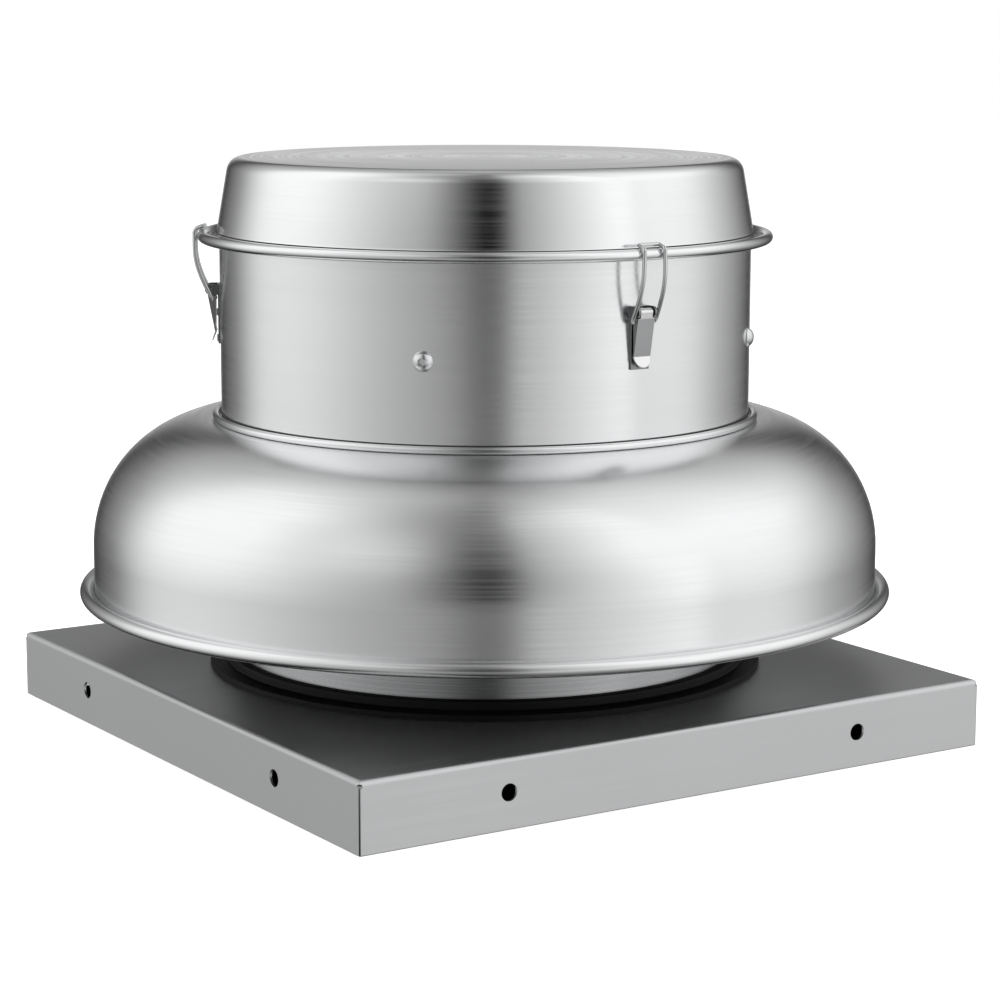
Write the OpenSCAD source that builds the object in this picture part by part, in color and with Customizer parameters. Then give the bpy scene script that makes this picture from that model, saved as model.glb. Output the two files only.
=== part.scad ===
// Roof exhaust fan with a spun aluminium housing, in millimetres.
// Z is up, and the origin is the centre of the curb cap at its bottom edge.
// Outdoor air side: square curb cap, inlet drum, bowl, motor drum and latched lid.
// Inside: a backward curved wheel on the shaft of a motor that stands in the drum.

/* [Curb cap] */
// Side of the square curb cap
cap_side = 432; // [420:1:480]
// Height of the curb cap
cap_h = 40.6; // [38:0.2:60]
// Sheet thickness of the curb cap
cap_t = 1.5; // [1:0.1:2.5]
// Outer bend radius along the top edges of the cap
cap_bend_r = 3; // [2.8:0.1:6]
// Diameter of each screw hole in the sides
curb_hole_d = 10; // [6:0.5:14]
// Distance between the two holes in one side
curb_hole_pitch = 244; // [160:1:320]
// Height of the hole centres above the bottom edge
curb_hole_z = 20.8; // [12:0.2:26]
// Width of the foam seal glued under the edges of the cap's top
seal_w = 22; // [15:1:30]
// Thickness of that seal
seal_t = 6; // [5.5:0.5:9]
// Width of the open seam at each corner of the cap
cap_seam = 0.9; // [0.6:0.1:1.4]
// Radius of the relief hole at the top of each seam
cap_notch_r = 1.3; // [1:0.1:1.6]

/* [Base ring] */
// Width of the ring's low flange outside the inlet drum
ring_flange_w = 15.5; // [9:0.5:20]
// Thickness of that flange
ring_flange_t = 3.9; // [2:0.1:6]
// Width of the raised neck outside the inlet drum
ring_neck_w = 5.5; // [2:0.5:8]
// Full height of the base ring
ring_h = 9.4; // [7:0.1:14]
// Radial width of the inlet drum's seat on the ring
ring_seat_w = 1.3; // [1:0.1:1.4]

/* [Inlet] */
// Distance from the circle of the posts to the outside of the inlet drum
inlet_margin = 12.5; // [12:0.5:16]
// Height of the inlet drum
inlet_h = 28; // [24:0.5:32]
// Sheet thickness of the inlet drum
inlet_t = 1.5; // [1:0.1:2]
// Corner radius between wall and top of the inlet drum
inlet_corner_r = 5; // [3:0.5:8]
// Radius of the bell mouth's curve
mouth_r = 24; // [20:0.5:26]
// Sheet thickness of the nozzle
nozzle_t = 1.2; // [1:0.1:1.5]
// Width of the nozzle's flat flange
nozzle_flange_w = 11; // [9:0.5:13]
// Length of the straight lip that reaches into the wheel
lip_h = 3; // [2:0.5:6]
// Number of rivets in the nozzle flange
nozzle_rivets_n = 8; // [4:1:12]
// Shank radius of a nozzle rivet
nozzle_rivet_r = 1.6; // [1.2:0.1:2]

/* [Posts] */
// Distance of the circle of the posts inward from the outside of the motor drum
post_inset = 19.1; // [17:0.1:24]
// Distance of the circle of the posts from the edges of the openings in cap and bowl
post_margin = 11; // [8:0.5:13]
// Radius of a post
post_r = 5; // [4.5:0.1:5.5]
// Length of a post from the cap to the motor deck
post_l = 148; // [144:1:156]
// Radius of the post bolts
post_bolt_r = 3; // [2.5:0.1:3.5]
// Depth of the tapped hole in each end of a post
post_tap_depth = 20; // [12:1:30]
// Gap between the wiring tube and the wall of the inlet drum
tube_gap = 1.5; // [1:0.1:4]
// Outer radius of the wiring tube
tube_r = 7; // [5:0.5:7.5]
// Wall of the wiring tube
tube_wall = 1.5; // [1:0.1:2]
// Length of the wiring tube that stands out at either end
tube_stub = 5; // [2:0.5:5.5]
// Direction of the wiring tube, in degrees from X
tube_angle = 22.5; // [16:0.5:29]

/* [Motor deck] */
// Width of the motor deck outside the motor drum
deck_margin = 3.9; // [1:0.1:6]
// Thickness of the motor deck
deck_t = 3; // [2:0.1:4]
// Radius of the opening for the shaft in the deck
deck_opening_r = 30; // [22:0.5:36]
// Distance of the circle of the rubber mounts inward from the bowl's opening
mount_inset = 27; // [15:0.5:30]
// Radius of a rubber mount
mount_r = 11; // [8:0.5:13]
// Height of a rubber mount
mount_h = 15; // [12:0.5:20]
// Width of the motor's plate outside the circle of the rubber mounts
plate_margin = 19; // [12:0.5:24]
// Thickness of the plate that carries the motor
plate_t = 3; // [2:0.1:4]

/* [Bowl] */
// Outer radius of the bowl's straight skirt
bowl_r = 241.3; // [236:0.1:250]
// Sheet thickness of the bowl
bowl_t = 1.5; // [1:0.1:2]
// Width of the bowl's flat top outside the ridge of the motor drum
neck_margin = 0.9; // [0.5:0.1:8]
// Height of the elliptical dome
dome_h = 77.2; // [68:0.2:84]
// Height of the straight skirt below the dome
skirt_h = 26; // [18:0.5:32]
// Radius of the rolled bead round the rim
bowl_bead_r = 2.8; // [2.2:0.1:4]
// Radius of the turned out foot above the bead
bowl_flare_r = 3; // [2:0.1:5]

/* [Motor drum] */
// Outer radius of the motor drum
drum_r = 162.1; // [161:0.1:163.5]
// Sheet thickness of the motor drum
drum_t = 1.2; // [1:0.1:2]
// Height of the motor drum
drum_h = 110.7; // [104:0.1:130]
// Radius of the rolled ridge round the foot of the drum
ridge_r = 2.2; // [1.6:0.1:2.6]
// Groove between the drum's wall and that ridge
ridge_groove = 1.1; // [0.6:0.1:2]
// Height of the drum screws above the bowl
drum_screw_h = 51.9; // [40:0.1:60]
// Radius of the drum screws
drum_screw_r = 3; // [2.5:0.1:3.5]
// Radius of the domed head of a drum screw
drum_head_r = 6; // [4.5:0.1:7]
// Height of the domed head of a drum screw
drum_head_h = 3.8; // [2.5:0.1:4.4]
// Wall of the rubber trim on the top edge of the drum
trim_wall = 0.8; // [0.6:0.05:1]
// Height of the rubber trim
trim_h = 4.7; // [4:0.1:6]
// Thickness of the trim above the drum's edge
trim_top = 1.5; // [1:0.1:2]

/* [Lid] */
// Distance of the foot of the lid's wall outward from the motor drum
lid_margin = 1.1; // [0.9:0.1:1.9]
// Sheet thickness of the lid
lid_t = 1.2; // [1:0.05:1.4]
// Height from the foot of the wall to the flat top
lid_h = 42.5; // [36:0.5:60]
// Draft of the lid's wall, in degrees
lid_draft = 10; // [4:0.5:14]
// Radius of the rounded shoulder at the top
lid_corner_r = 9; // [5:0.5:14]
// Radius of the turned out foot of the wall
lid_flare_r = 5.5; // [4.5:0.1:7]
// Radius of the rolled bead round the rim
lid_bead_r = 3.25; // [2.8:0.05:3.6]
// Height of the bead's middle above the lower edge of the turned out foot
lid_bead_lift = 0.6; // [0.3:0.05:1]

/* [Latches] */
// Height of the lever's pivot below the lid bead's centre
latch_drop = 32.9; // [30:0.1:36]
// Distance of the lever's pivot from the drum's surface
latch_reach = 5.6; // [5.4:0.1:6.4]
// Radius of the lever's pivot pin
latch_pin_r = 1.2; // [1:0.05:1.3]
// Sheet thickness of bracket and lever
latch_t = 1.2; // [0.9:0.05:1.3]
// Width of the lever
lever_w = 11.4; // [10.4:0.1:11.6]
// Length of the lever's flat from pivot to bend
lever_l = 25.5; // [22:0.5:30]
// Length of the lip below the bend
lever_lip = 6.1; // [4:0.1:8]
// Radius of the curl round the pivot pin
knuckle_r = 2.3; // [2.2:0.05:2.6]
// Width of the curl round the pivot pin
knuckle_w = 8.2; // [7.6:0.1:8.6]
// Side gap between that curl and the bracket's ears
knuckle_gap = 0.9; // [0.7:0.05:1]
// Lean of the lever's flat toward the drum, from pivot to bend
lever_lean = 2.4; // [1.8:0.1:2.6]
// Length by which the lip turns out from the drum again
lip_out = 2.2; // [1.8:0.1:3]
// Radius of the rounded ears of the bracket
ear_r = 3.3; // [3:0.1:3.5]
// Length of the bracket below the lever's lip
bracket_tail = 1.4; // [1.2:0.1:3]
// Height of the upper rivet above the lever's bend
rivet_rise = 11.3; // [10:0.1:12]
// Depth of the lower rivet below the lever's bend
rivet_drop = 4.6; // [4.4:0.1:4.8]
// Shank radius of the rivets that hold the bracket
latch_rivet_r = 1.5; // [1.2:0.1:1.6]
// Height of the heads of those rivets
latch_rivet_h = 0.8; // [0.6:0.05:0.9]
// Distance of the bail's feet below the pivot
bail_drop = 5.8; // [5.6:0.1:6.4]
// Distance of the bail's feet inward from the pivot
bail_inset = 1.4; // [1:0.1:1.6]
// Radius of the bail's wire
wire_r = 1.05; // [0.8:0.05:1.2]
// Half the spacing of the wires at the feet
bail_foot_y = 8; // [7.9:0.1:9]
// Half the spacing of the wires at the crossbar
bail_top_y = 7; // [7:0.1:8]
// Distance of the crossbar inward from the middle of the lid's bead
bar_inset = 1.2; // [1:0.1:1.6]
// Gap between the crossbar and the top of the lid's bead
bar_gap = 1.1; // [1.1:0.05:1.4]

/* [Wheel] */
// Running gap between the wheel and the posts
wheel_gap = 5; // [4:0.5:12]
// Width of the shroud from the wheel's rim to the eye
shroud_w = 33.5; // [30:0.5:40]
// Running gap between the eye and the nozzle's lip
eye_gap = 2.3; // [1.5:0.1:4]
// Length of the nozzle's lip inside the eye
eye_lap = 3; // [2:0.5:5]
// Length of the straight part of the eye ring
eye_h = 6; // [4:0.5:8]
// Radius of the curve from the eye into the shroud
shroud_curve_r = 14; // [10:0.5:18]
// Slope of the shroud's outer part, in degrees
shroud_slope = 18; // [10:1:24]
// Sheet thickness of the shroud
shroud_t = 1.2; // [1:0.1:2]
// Thickness of the back plate
back_t = 1.5; // [1:0.1:3]
// Gap between the back plate and the motor deck
back_gap = 13; // [11:0.5:18]
// Number of blades
blades_n = 9; // [6:1:12]
// Thickness of a blade
blade_t = 1.5; // [1:0.1:3]
// Length by which the blades reach in past the eye
blade_reach = 10.5; // [4:0.5:14]
// Blade angle at the inner edge, in degrees from the rim direction
blade_in_angle = 28; // [22:1:34]
// Blade angle at the outer edge, in degrees from the rim direction
blade_out_angle = 42; // [36:1:50]
// Radius of the hub's flange
hub_flange_r = 40; // [34:0.5:50]
// Thickness of the hub's flange
hub_flange_t = 4; // [3:0.5:6]
// Radius of the hub's boss
hub_r = 20; // [16:0.5:26]
// Length of the hub's boss below its flange
hub_l = 22; // [16:0.5:24]

/* [Motor] */
// Radius of the shaft
shaft_r = 8; // [6:0.5:9]
// Radius of the motor's bare frame
frame_r = 63; // [60:0.5:64]
// Wall of the motor's frame
frame_wall = 5; // [4:0.5:6]
// Height of the motor's frame
frame_h = 48; // [40:1:60]
// Number of cooling fins
fins_n = 24; // [12:1:32]
// Height of a cooling fin above the frame
fin_h = 6; // [4:0.5:7]
// Thickness of a cooling fin
fin_t = 2; // [1.5:0.1:3]
// Radius of the motor's mounting flange
flange_r = 74; // [72:0.5:75]
// Thickness of the motor's mounting flange
flange_t = 5; // [4:0.5:8]
// Height of the lower end bell above its flange
bell_h = 13; // [11:0.5:18]
// Height of the upper end bell
cover_h = 15; // [13:0.5:20]
// Outer radius of the ball bearings
bearing_r = 20; // [18:0.5:22]
// Width of the ball bearings
bearing_w = 10; // [8:0.5:11]
// Radius of the rotor core
rotor_r = 34; // [30:0.5:36]
// Height of the rotor core and of the stator stack
stack_h = 30; // [24:0.5:34]

/* [Clearances] */
// Radial play of a shaft or hinge pin in its hole
run_gap = 0.05; // [0.02:0.01:0.09]
// Radial play of a fixed pin or bolt in its hole
fix_gap = 0.02; // [0.01:0.01:0.05]
// Play of a bolt in a drilled plate
bolt_gap = 0.3; // [0.2:0.05:0.5]
// Side play between moving cheeks
side_gap = 0.2; // [0.15:0.05:0.4]
// Gap between the lid and the trim that it rests on
lid_gap = 0.3; // [0.2:0.05:0.5]
// Gap at a welded or glued joint
weld_gap = 0.05; // [0.02:0.01:0.1]
// Gap between the rotor and the stator
air_gap = 0.5; // [0.3:0.05:0.8]

/* [Hidden] */
$fn = 96;
cut = 1;
arc_steps = 8;
dome_steps = 16;

// Radii that follow from the motor drum: posts, wheel, nozzle, inlet drum and openings
post_circle_r = drum_r - post_inset;
wheel_r = post_circle_r - post_r - wheel_gap;
eye_r = wheel_r - shroud_w;
blade_in_r = eye_r - blade_reach;
throat_r = eye_r - eye_gap - nozzle_t;
inlet_r = post_circle_r + inlet_margin;
ring_neck_r = inlet_r + ring_neck_w;
ring_flange_r = inlet_r + ring_flange_w;
tube_circle_r = inlet_r - inlet_t - tube_gap - tube_r;
opening_r = post_circle_r - post_margin;
mount_circle_r = opening_r - mount_inset;
plate_r = mount_circle_r + plate_margin;
deck_r = drum_r + deck_margin;
bowl_neck_r = drum_r + ridge_groove + 2 * ridge_r + neck_margin;
lid_r = drum_r + lid_margin;

// Heights of the stacked pieces, from the cap upward
seal_z = cap_h - cap_t - weld_gap - seal_t;
ring_z = cap_h + ring_h;
inlet_top_z = ring_z + inlet_h;
nozzle_lip_z = inlet_top_z + mouth_r + lip_h;
deck_z = cap_h + post_l;
deck_top_z = deck_z + deck_t;
bowl_top_z = deck_top_z + bowl_t;
dome_z = bowl_top_z - dome_h;
flare_z = dome_z - skirt_h;
drum_top_z = bowl_top_z + drum_h;
plate_z = deck_top_z + mount_h;
plate_top_z = plate_z + plate_t;

// The lid lies on the outer corner of the trim with the underside of its turned out foot
trim_r = drum_r + trim_wall;
trim_z = drum_top_z + trim_top;
flare_r = lid_r + lid_flare_r;
lid_foot_z = trim_z + lid_gap + sqrt(pow(lid_flare_r + lid_t, 2) - pow(flare_r - trim_r, 2));
lid_bead_z = lid_foot_z - lid_flare_r + lid_bead_lift;
lid_bead_x = flare_r + lid_bead_r + weld_gap;
lid_top_z = lid_foot_z + lid_h;

// Latches: the pivot P of the lever, the feet Q of the bail, in the latch's own plane
latch_angles = [-90, 30, 150];
pivot_x = drum_r + latch_reach;
pivot_z = lid_bead_z - latch_drop;
foot_x = pivot_x - bail_inset;
foot_z = pivot_z - bail_drop;
ear_y = knuckle_w / 2 + knuckle_gap;
bend_x = pivot_x - lever_lean;
bend_z = pivot_z - lever_l;
lip_x = bend_x + lip_out;
lip_z = bend_z - lever_lip;
bracket_foot_z = lip_z - bracket_tail;
rivet_high_z = bend_z + rivet_rise;
rivet_low_z = bend_z - rivet_drop;
bow_x = lid_bead_x + lid_bead_r + wire_r + side_gap;
bar_x = lid_bead_x - bar_inset;
bar_z = lid_bead_z + lid_bead_r + wire_r + bar_gap;

// Wheel and shaft heights, hung from the deck
back_top_z = deck_z - back_gap;
back_z = back_top_z - back_t;
eye_z = nozzle_lip_z - eye_lap;
curve_z = eye_z + eye_h;
hub_flange_z = back_z - hub_flange_t;
hub_z = hub_flange_z - hub_l;

// Motor heights, from the carrier plate upward
frame_z = plate_top_z + flange_t + bell_h;
cover_z = frame_z + frame_h;
motor_top_z = cover_z + cover_h;
low_bearing_z = frame_z - bearing_w - 1;
high_bearing_z = cover_z + 1;
stack_z = frame_z + (frame_h - stack_h) / 2;
cover_step = 4;
boss_wall = 8;

// Length of a cut across a thin wall of the drum, and the shaft's tapped hole
wall_cut = 16;
shaft_tap = 20;

// How far a latch pin stands out of the ears, and how deep a corner seam is cut
pin_end = 0.3;
seam_reach = 6;

// Small fasteners: head radius, head height and nut height go with the bolt's radius
function hex_r(r) = r * 1.9;
function hex_h(r) = r * 1.3;
function nut_h(r) = hex_h(r) * 1.2;

// Places of the posts, drum screws and rubber mounts
quarter = [0, 90, 180, 270];
post_bolt_l = post_tap_depth - 2;
upright_w = 24;
upright_t = 2;
upright_top = 12;
upright_h = drum_screw_h + upright_top;
upright_foot = 24;
upright_screw_r = 2.5;
upright_x = sqrt(pow(drum_r - drum_t, 2) - pow(upright_w / 2, 2)) - weld_gap - upright_t;
upright_screw_x = upright_x - upright_foot / 2;

// Terminal box and capacitor, which stand on the carrier plate beside the motor
box_w = 68;
box_d = 34;
box_h = 52;
box_wall = 1.5;
box_y = flange_r + 4;
gland_r = 9;
gland_stub = 4;
gland_head = 8;
gland_cap = 6;
capacitor_r = 18;
capacitor_h = 70;
capacitor_y = -(flange_r + 3 + capacitor_r);
clip_h = 14;
clip_t = 1.5;
clip_foot = 14;
clip_w = 12;
tab_w = 6;
tab_h = 9;

// Points of an arc round [x, z], from angle a to angle b
function arc(x, z, r, a, b, n = arc_steps) =
    [for (i = [0:n]) [x + r * cos(a + (b - a) * i / n), z + r * sin(a + (b - a) * i / n)]];

// Points of an elliptical arc from the rim, at angle 0, to the crown, at 90
function dome(x, z, rx, rz) =
    [for (i = [0:dome_steps]) [x + rx * cos(90 * i / dome_steps), z + rz * sin(90 * i / dome_steps)]];

function reversed(list) = [for (i = [len(list) - 1:-1:0]) list[i]];

// A sheet metal shell spun round Z between an outer and an inner line of points
module spun(outer, inner) {
    rotate_extrude() polygon(concat(outer, reversed(inner)));
}

// A ring round Z
module ring(outer_r, inner_r, z, h) {
    translate([0, 0, z]) difference() {
        cylinder(r = outer_r, h = h);
        translate([0, 0, -cut]) cylinder(r = inner_r, h = h + 2 * cut);
    }
}

// Children repeated on a circle round Z at the given angles
module around(angles, r) {
    for (a = angles) rotate([0, 0, a]) translate([r, 0, 0]) children();
}

// An upright bolt whose head rests at height z and whose shank goes down by l
module bolt(r, l, z) {
    translate([0, 0, z]) cylinder(r = hex_r(r), h = hex_h(r), $fn = 6);
    translate([0, 0, z - l]) cylinder(r = r, h = l + hex_h(r) / 2, $fn = 32);
}

// A hexagon nut on a bolt of radius r, with its lower face at height z
module nut(r, z) {
    translate([0, 0, z]) difference() {
        cylinder(r = hex_r(r), h = nut_h(r), $fn = 6);
        translate([0, 0, -cut]) cylinder(r = r + fix_gap, h = nut_h(r) + 2 * cut, $fn = 32);
    }
}

// Side view of the pan: straight sides under rounded top corners
module pan_side(side, top, bend_r) {
    translate([-side / 2, -cut]) square([side, top - bend_r + cut]);
    translate([-side / 2 + bend_r, -cut]) square([side - 2 * bend_r, top + cut]);
    for (s = [-1, 1]) translate([s * (side / 2 - bend_r), top - bend_r]) circle(r = bend_r, $fn = 32);
}

// Solid block with rounded top edges, cut flat at z = low
module pan_block(side, top, bend_r, low) {
    intersection() {
        rotate([90, 0, 0]) linear_extrude(side, center = true) pan_side(side, top, bend_r);
        rotate([90, 0, 90]) linear_extrude(side, center = true) pan_side(side, top, bend_r);
        translate([-side, -side, low]) cube([2 * side, 2 * side, top + cut]);
    }
}

// Folded square pan that slips over the roof curb, with a round air opening
module curb_cap() {
    color([0.67, 0.68, 0.69]) difference() {
        pan_block(cap_side, cap_h, cap_bend_r, 0);
        pan_block(cap_side - 2 * cap_t, cap_h - cap_t, cap_bend_r - cap_t, -cut);
        cylinder(r = opening_r, h = cap_h + cut);
        around(quarter, post_circle_r) cylinder(r = post_bolt_r + bolt_gap, h = cap_h + cut, $fn = 32);
        around([tube_angle], tube_circle_r) cylinder(r = tube_r + bolt_gap, h = cap_h + cut, $fn = 48);
        for (a = [0, 90], s = [-1, 1]) rotate([0, 0, a])
            translate([s * curb_hole_pitch / 2, 0, curb_hole_z]) rotate([90, 0, 0])
                cylinder(d = curb_hole_d, h = cap_side + 2 * cut, center = true, $fn = 48);
        around(upright_angles(), cap_side / sqrt(2) - seam_reach) corner_seam();
    }
}

// Cut at one corner of the cap, where two bent down sides meet, with its relief hole
module corner_seam() {
    translate([0, -cap_seam / 2, -cut]) cube([2 * seam_reach, cap_seam, cap_h - cap_bend_r + cut]);
    translate([0, 0, cap_h - cap_bend_r]) rotate([0, 90, 0])
        cylinder(r = cap_notch_r, h = 2 * seam_reach, $fn = 32);
}

// Foam strip glued under the edges of the cap's top, which lies on the roof curb
module curb_seal() {
    side = cap_side - 2 * cap_bend_r;
    color([0.12, 0.12, 0.12]) translate([0, 0, seal_z]) linear_extrude(seal_t) difference() {
        square(side, center = true);
        square(side - 2 * seal_w, center = true);
    }
}

// Black stepped ring that seals the inlet drum to the cap
module base_ring() {
    color([0.05, 0.05, 0.06]) rotate_extrude() {
        translate([inlet_r - ring_seat_w, cap_h])
            square([ring_flange_r - inlet_r + ring_seat_w, ring_flange_t]);
        translate([inlet_r - ring_seat_w, cap_h])
            square([ring_neck_r - inlet_r + ring_seat_w, ring_h]);
    }
}

// Spun drum that stands on the base ring and closes the space round the nozzle
module inlet_drum() {
    hole = throat_r + mouth_r + 1;
    c = inlet_corner_r;
    outer = concat([[inlet_r, ring_z]], arc(inlet_r - c, inlet_top_z - c, c, 0, 90), [[hole, inlet_top_z]]);
    inner = concat([[inlet_r - inlet_t, ring_z]],
        arc(inlet_r - c, inlet_top_z - c, c - inlet_t, 0, 90), [[hole, inlet_top_z - inlet_t]]);
    color([0.66, 0.67, 0.68]) difference() {
        spun(outer, inner);
        around(quarter, post_circle_r) translate([0, 0, ring_z])
            cylinder(r = post_r + bolt_gap, h = inlet_h + cut, $fn = 48);
        around([tube_angle], tube_circle_r) translate([0, 0, ring_z])
            cylinder(r = tube_r + bolt_gap, h = inlet_h + cut, $fn = 48);
        around(nozzle_rivet_angles(), nozzle_rivet_x()) translate([0, 0, ring_z])
            cylinder(r = nozzle_rivet_r + fix_gap, h = inlet_h + cut, $fn = 24);
    }
}

function nozzle_rivet_angles() = [for (i = [0:nozzle_rivets_n - 1]) (i + 0.5) * 360 / nozzle_rivets_n];
function nozzle_rivet_x() = throat_r + mouth_r + nozzle_flange_w / 2;

// Bell mouth that leads the air from the duct into the wheel's eye
module inlet_nozzle() {
    mouth_x = throat_r + mouth_r;
    mouth_z = inlet_top_z + mouth_r;
    outer = concat([[mouth_x + nozzle_flange_w, inlet_top_z]], arc(mouth_x, mouth_z, mouth_r, 270, 180),
        [[throat_r, nozzle_lip_z]]);
    inner = concat([[mouth_x + nozzle_flange_w, inlet_top_z + nozzle_t]],
        arc(mouth_x, mouth_z, mouth_r - nozzle_t, 270, 180), [[throat_r + nozzle_t, nozzle_lip_z]]);
    color([0.62, 0.63, 0.65]) difference() {
        spun(outer, inner);
        around(nozzle_rivet_angles(), nozzle_rivet_x()) translate([0, 0, inlet_top_z - cut])
            cylinder(r = nozzle_rivet_r + fix_gap, h = nozzle_t + 2 * cut, $fn = 24);
    }
}

// Rivets that hold the nozzle on the inlet drum
module nozzle_rivets() {
    grip = inlet_t + nozzle_t;
    color([0.75, 0.76, 0.77]) around(nozzle_rivet_angles(), nozzle_rivet_x()) {
        translate([0, 0, inlet_top_z + nozzle_t])
            cylinder(r = nozzle_rivet_r * 2, h = rivet_head_h, $fn = 32);
        translate([0, 0, inlet_top_z - inlet_t - rivet_head_h / 2])
            cylinder(r = nozzle_rivet_r, h = grip + rivet_head_h, $fn = 24);
        translate([0, 0, inlet_top_z - inlet_t - rivet_head_h])
            cylinder(r = nozzle_rivet_r * 1.7, h = rivet_head_h, $fn = 32);
    }
}

// Round posts, tapped at both ends, that carry the motor deck above the cap
module support_posts() {
    color([0.60, 0.61, 0.63]) around(quarter, post_circle_r) difference() {
        translate([0, 0, cap_h]) cylinder(r = post_r, h = post_l, $fn = 48);
        translate([0, 0, cap_h - cut])
            cylinder(r = post_bolt_r + fix_gap, h = post_tap_depth + cut, $fn = 32);
        translate([0, 0, deck_z - post_tap_depth])
            cylinder(r = post_bolt_r + fix_gap, h = post_tap_depth + cut, $fn = 32);
    }
}

// Bolts into both ends of the posts: from under the cap, and from above the bowl's flat top
module post_bolts() {
    color([0.72, 0.72, 0.74]) around(quarter, post_circle_r) {
        bolt(post_bolt_r, post_bolt_l, bowl_top_z);
        translate([0, 0, cap_h - cap_t]) mirror([0, 0, 1]) bolt(post_bolt_r, post_bolt_l, 0);
    }
}

// Nuts on the posts that press the inlet drum down on the base ring
module clamp_nuts() {
    nut_h = 5;
    color([0.72, 0.72, 0.74]) around(quarter, post_circle_r) translate([0, 0, inlet_top_z]) difference() {
        cylinder(r = post_r * 1.7, h = nut_h, $fn = 6);
        translate([0, 0, -cut]) cylinder(r = post_r + fix_gap, h = nut_h + 2 * cut, $fn = 48);
    }
}

// Tube that leads the supply wires from the curb up to the motor space
module wiring_tube() {
    low = cap_h - cap_t - tube_stub;
    high = bowl_top_z + tube_stub;
    color([0.70, 0.70, 0.70]) around([tube_angle], tube_circle_r)
        ring_tube(tube_r, tube_r - tube_wall, low, high);
}

module ring_tube(outer_r, inner_r, low, high) {
    translate([0, 0, low]) difference() {
        cylinder(r = outer_r, h = high - low, $fn = 48);
        translate([0, 0, -cut]) cylinder(r = inner_r, h = high - low + 2 * cut, $fn = 48);
    }
}

// Spun bowl that turns the discharged air down over the cap
module bowl() {
    fx = bowl_r + bowl_flare_r;
    bead_x = fx + bowl_bead_r + 6 * weld_gap;
    bead_z = flare_z - bowl_flare_r + bowl_bead_r / 4;
    outer = concat([[bead_x, flare_z - bowl_flare_r]], arc(fx, flare_z, bowl_flare_r, 270, 180),
        dome(bowl_neck_r, dome_z, bowl_r - bowl_neck_r, dome_h), [[opening_r, bowl_top_z]]);
    inner = concat([[bead_x, flare_z - bowl_flare_r - bowl_t]],
        arc(fx, flare_z, bowl_flare_r + bowl_t, 270, 180),
        dome(bowl_neck_r, dome_z, bowl_r - bowl_neck_r - bowl_t, dome_h - bowl_t),
        [[opening_r, bowl_top_z - bowl_t]]);
    color([0.78, 0.79, 0.80]) difference() {
        rotate_extrude() {
            polygon(concat(outer, reversed(inner)));
            translate([bead_x, bead_z]) circle(r = bowl_bead_r, $fn = 32);
        }
        deck_holes();
    }
}

// Holes that the motor deck and the bowl's flat top share
module deck_holes() {
    l = deck_t + bowl_t + 2 * cut;
    around(quarter, post_circle_r) translate([0, 0, deck_z - cut])
        cylinder(r = post_bolt_r + bolt_gap, h = l, $fn = 32);
    around([tube_angle], tube_circle_r) translate([0, 0, deck_z - cut])
        cylinder(r = tube_r + bolt_gap, h = l, $fn = 48);
    around(upright_angles(), upright_screw_x) translate([0, 0, deck_z - cut])
        cylinder(r = upright_screw_r + fix_gap, h = l, $fn = 32);
}

function upright_angles() = [45, 135, 225, 315];

// Round deck under the bowl's flat top, which carries the motor
module motor_deck() {
    color([0.58, 0.59, 0.60]) difference() {
        ring(deck_r, deck_opening_r, deck_z, deck_t);
        deck_holes();
        around(upright_angles(), mount_circle_r) translate([0, 0, deck_z - cut])
            cylinder(r = post_bolt_r + bolt_gap, h = deck_t + 2 * cut, $fn = 32);
    }
}

// Rubber mounts that keep the motor's vibration off the deck
module rubber_mounts() {
    color([0.08, 0.08, 0.08]) around(upright_angles(), mount_circle_r)
        ring_tube(mount_r, post_bolt_r + bolt_gap, deck_top_z, plate_z);
}

// Bolts up through deck, rubber mounts and carrier plate
module mount_bolts() {
    l = deck_t + mount_h + plate_t + nut_h(post_bolt_r) + 2;
    color([0.72, 0.72, 0.74]) around(upright_angles(), mount_circle_r)
        translate([0, 0, deck_z]) mirror([0, 0, 1]) bolt(post_bolt_r, l, 0);
}

// Nuts on those bolts
module mount_nuts() {
    color([0.75, 0.75, 0.77]) around(upright_angles(), mount_circle_r) nut(post_bolt_r, plate_top_z);
}

// Round plate on the rubber mounts, which carries the motor, its box and its capacitor
module motor_plate() {
    color([0.60, 0.61, 0.62]) difference() {
        ring(plate_r, deck_opening_r, plate_z, plate_t);
        around(upright_angles(), mount_circle_r) translate([0, 0, plate_z - cut])
            cylinder(r = post_bolt_r + bolt_gap, h = plate_t + 2 * cut, $fn = 32);
        around(quarter, flange_bolt_x()) translate([0, 0, plate_z - cut])
            cylinder(r = post_bolt_r + fix_gap, h = plate_t + 2 * cut, $fn = 32);
    }
}

function flange_bolt_x() = flange_r - hex_r(post_bolt_r) - 0.5;

// Felt washer that closes the deck's opening round the shaft
module shaft_seal() {
    color([0.25, 0.25, 0.24]) ring(deck_opening_r + 6, shaft_r + air_gap, deck_top_z, 3);
}

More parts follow.
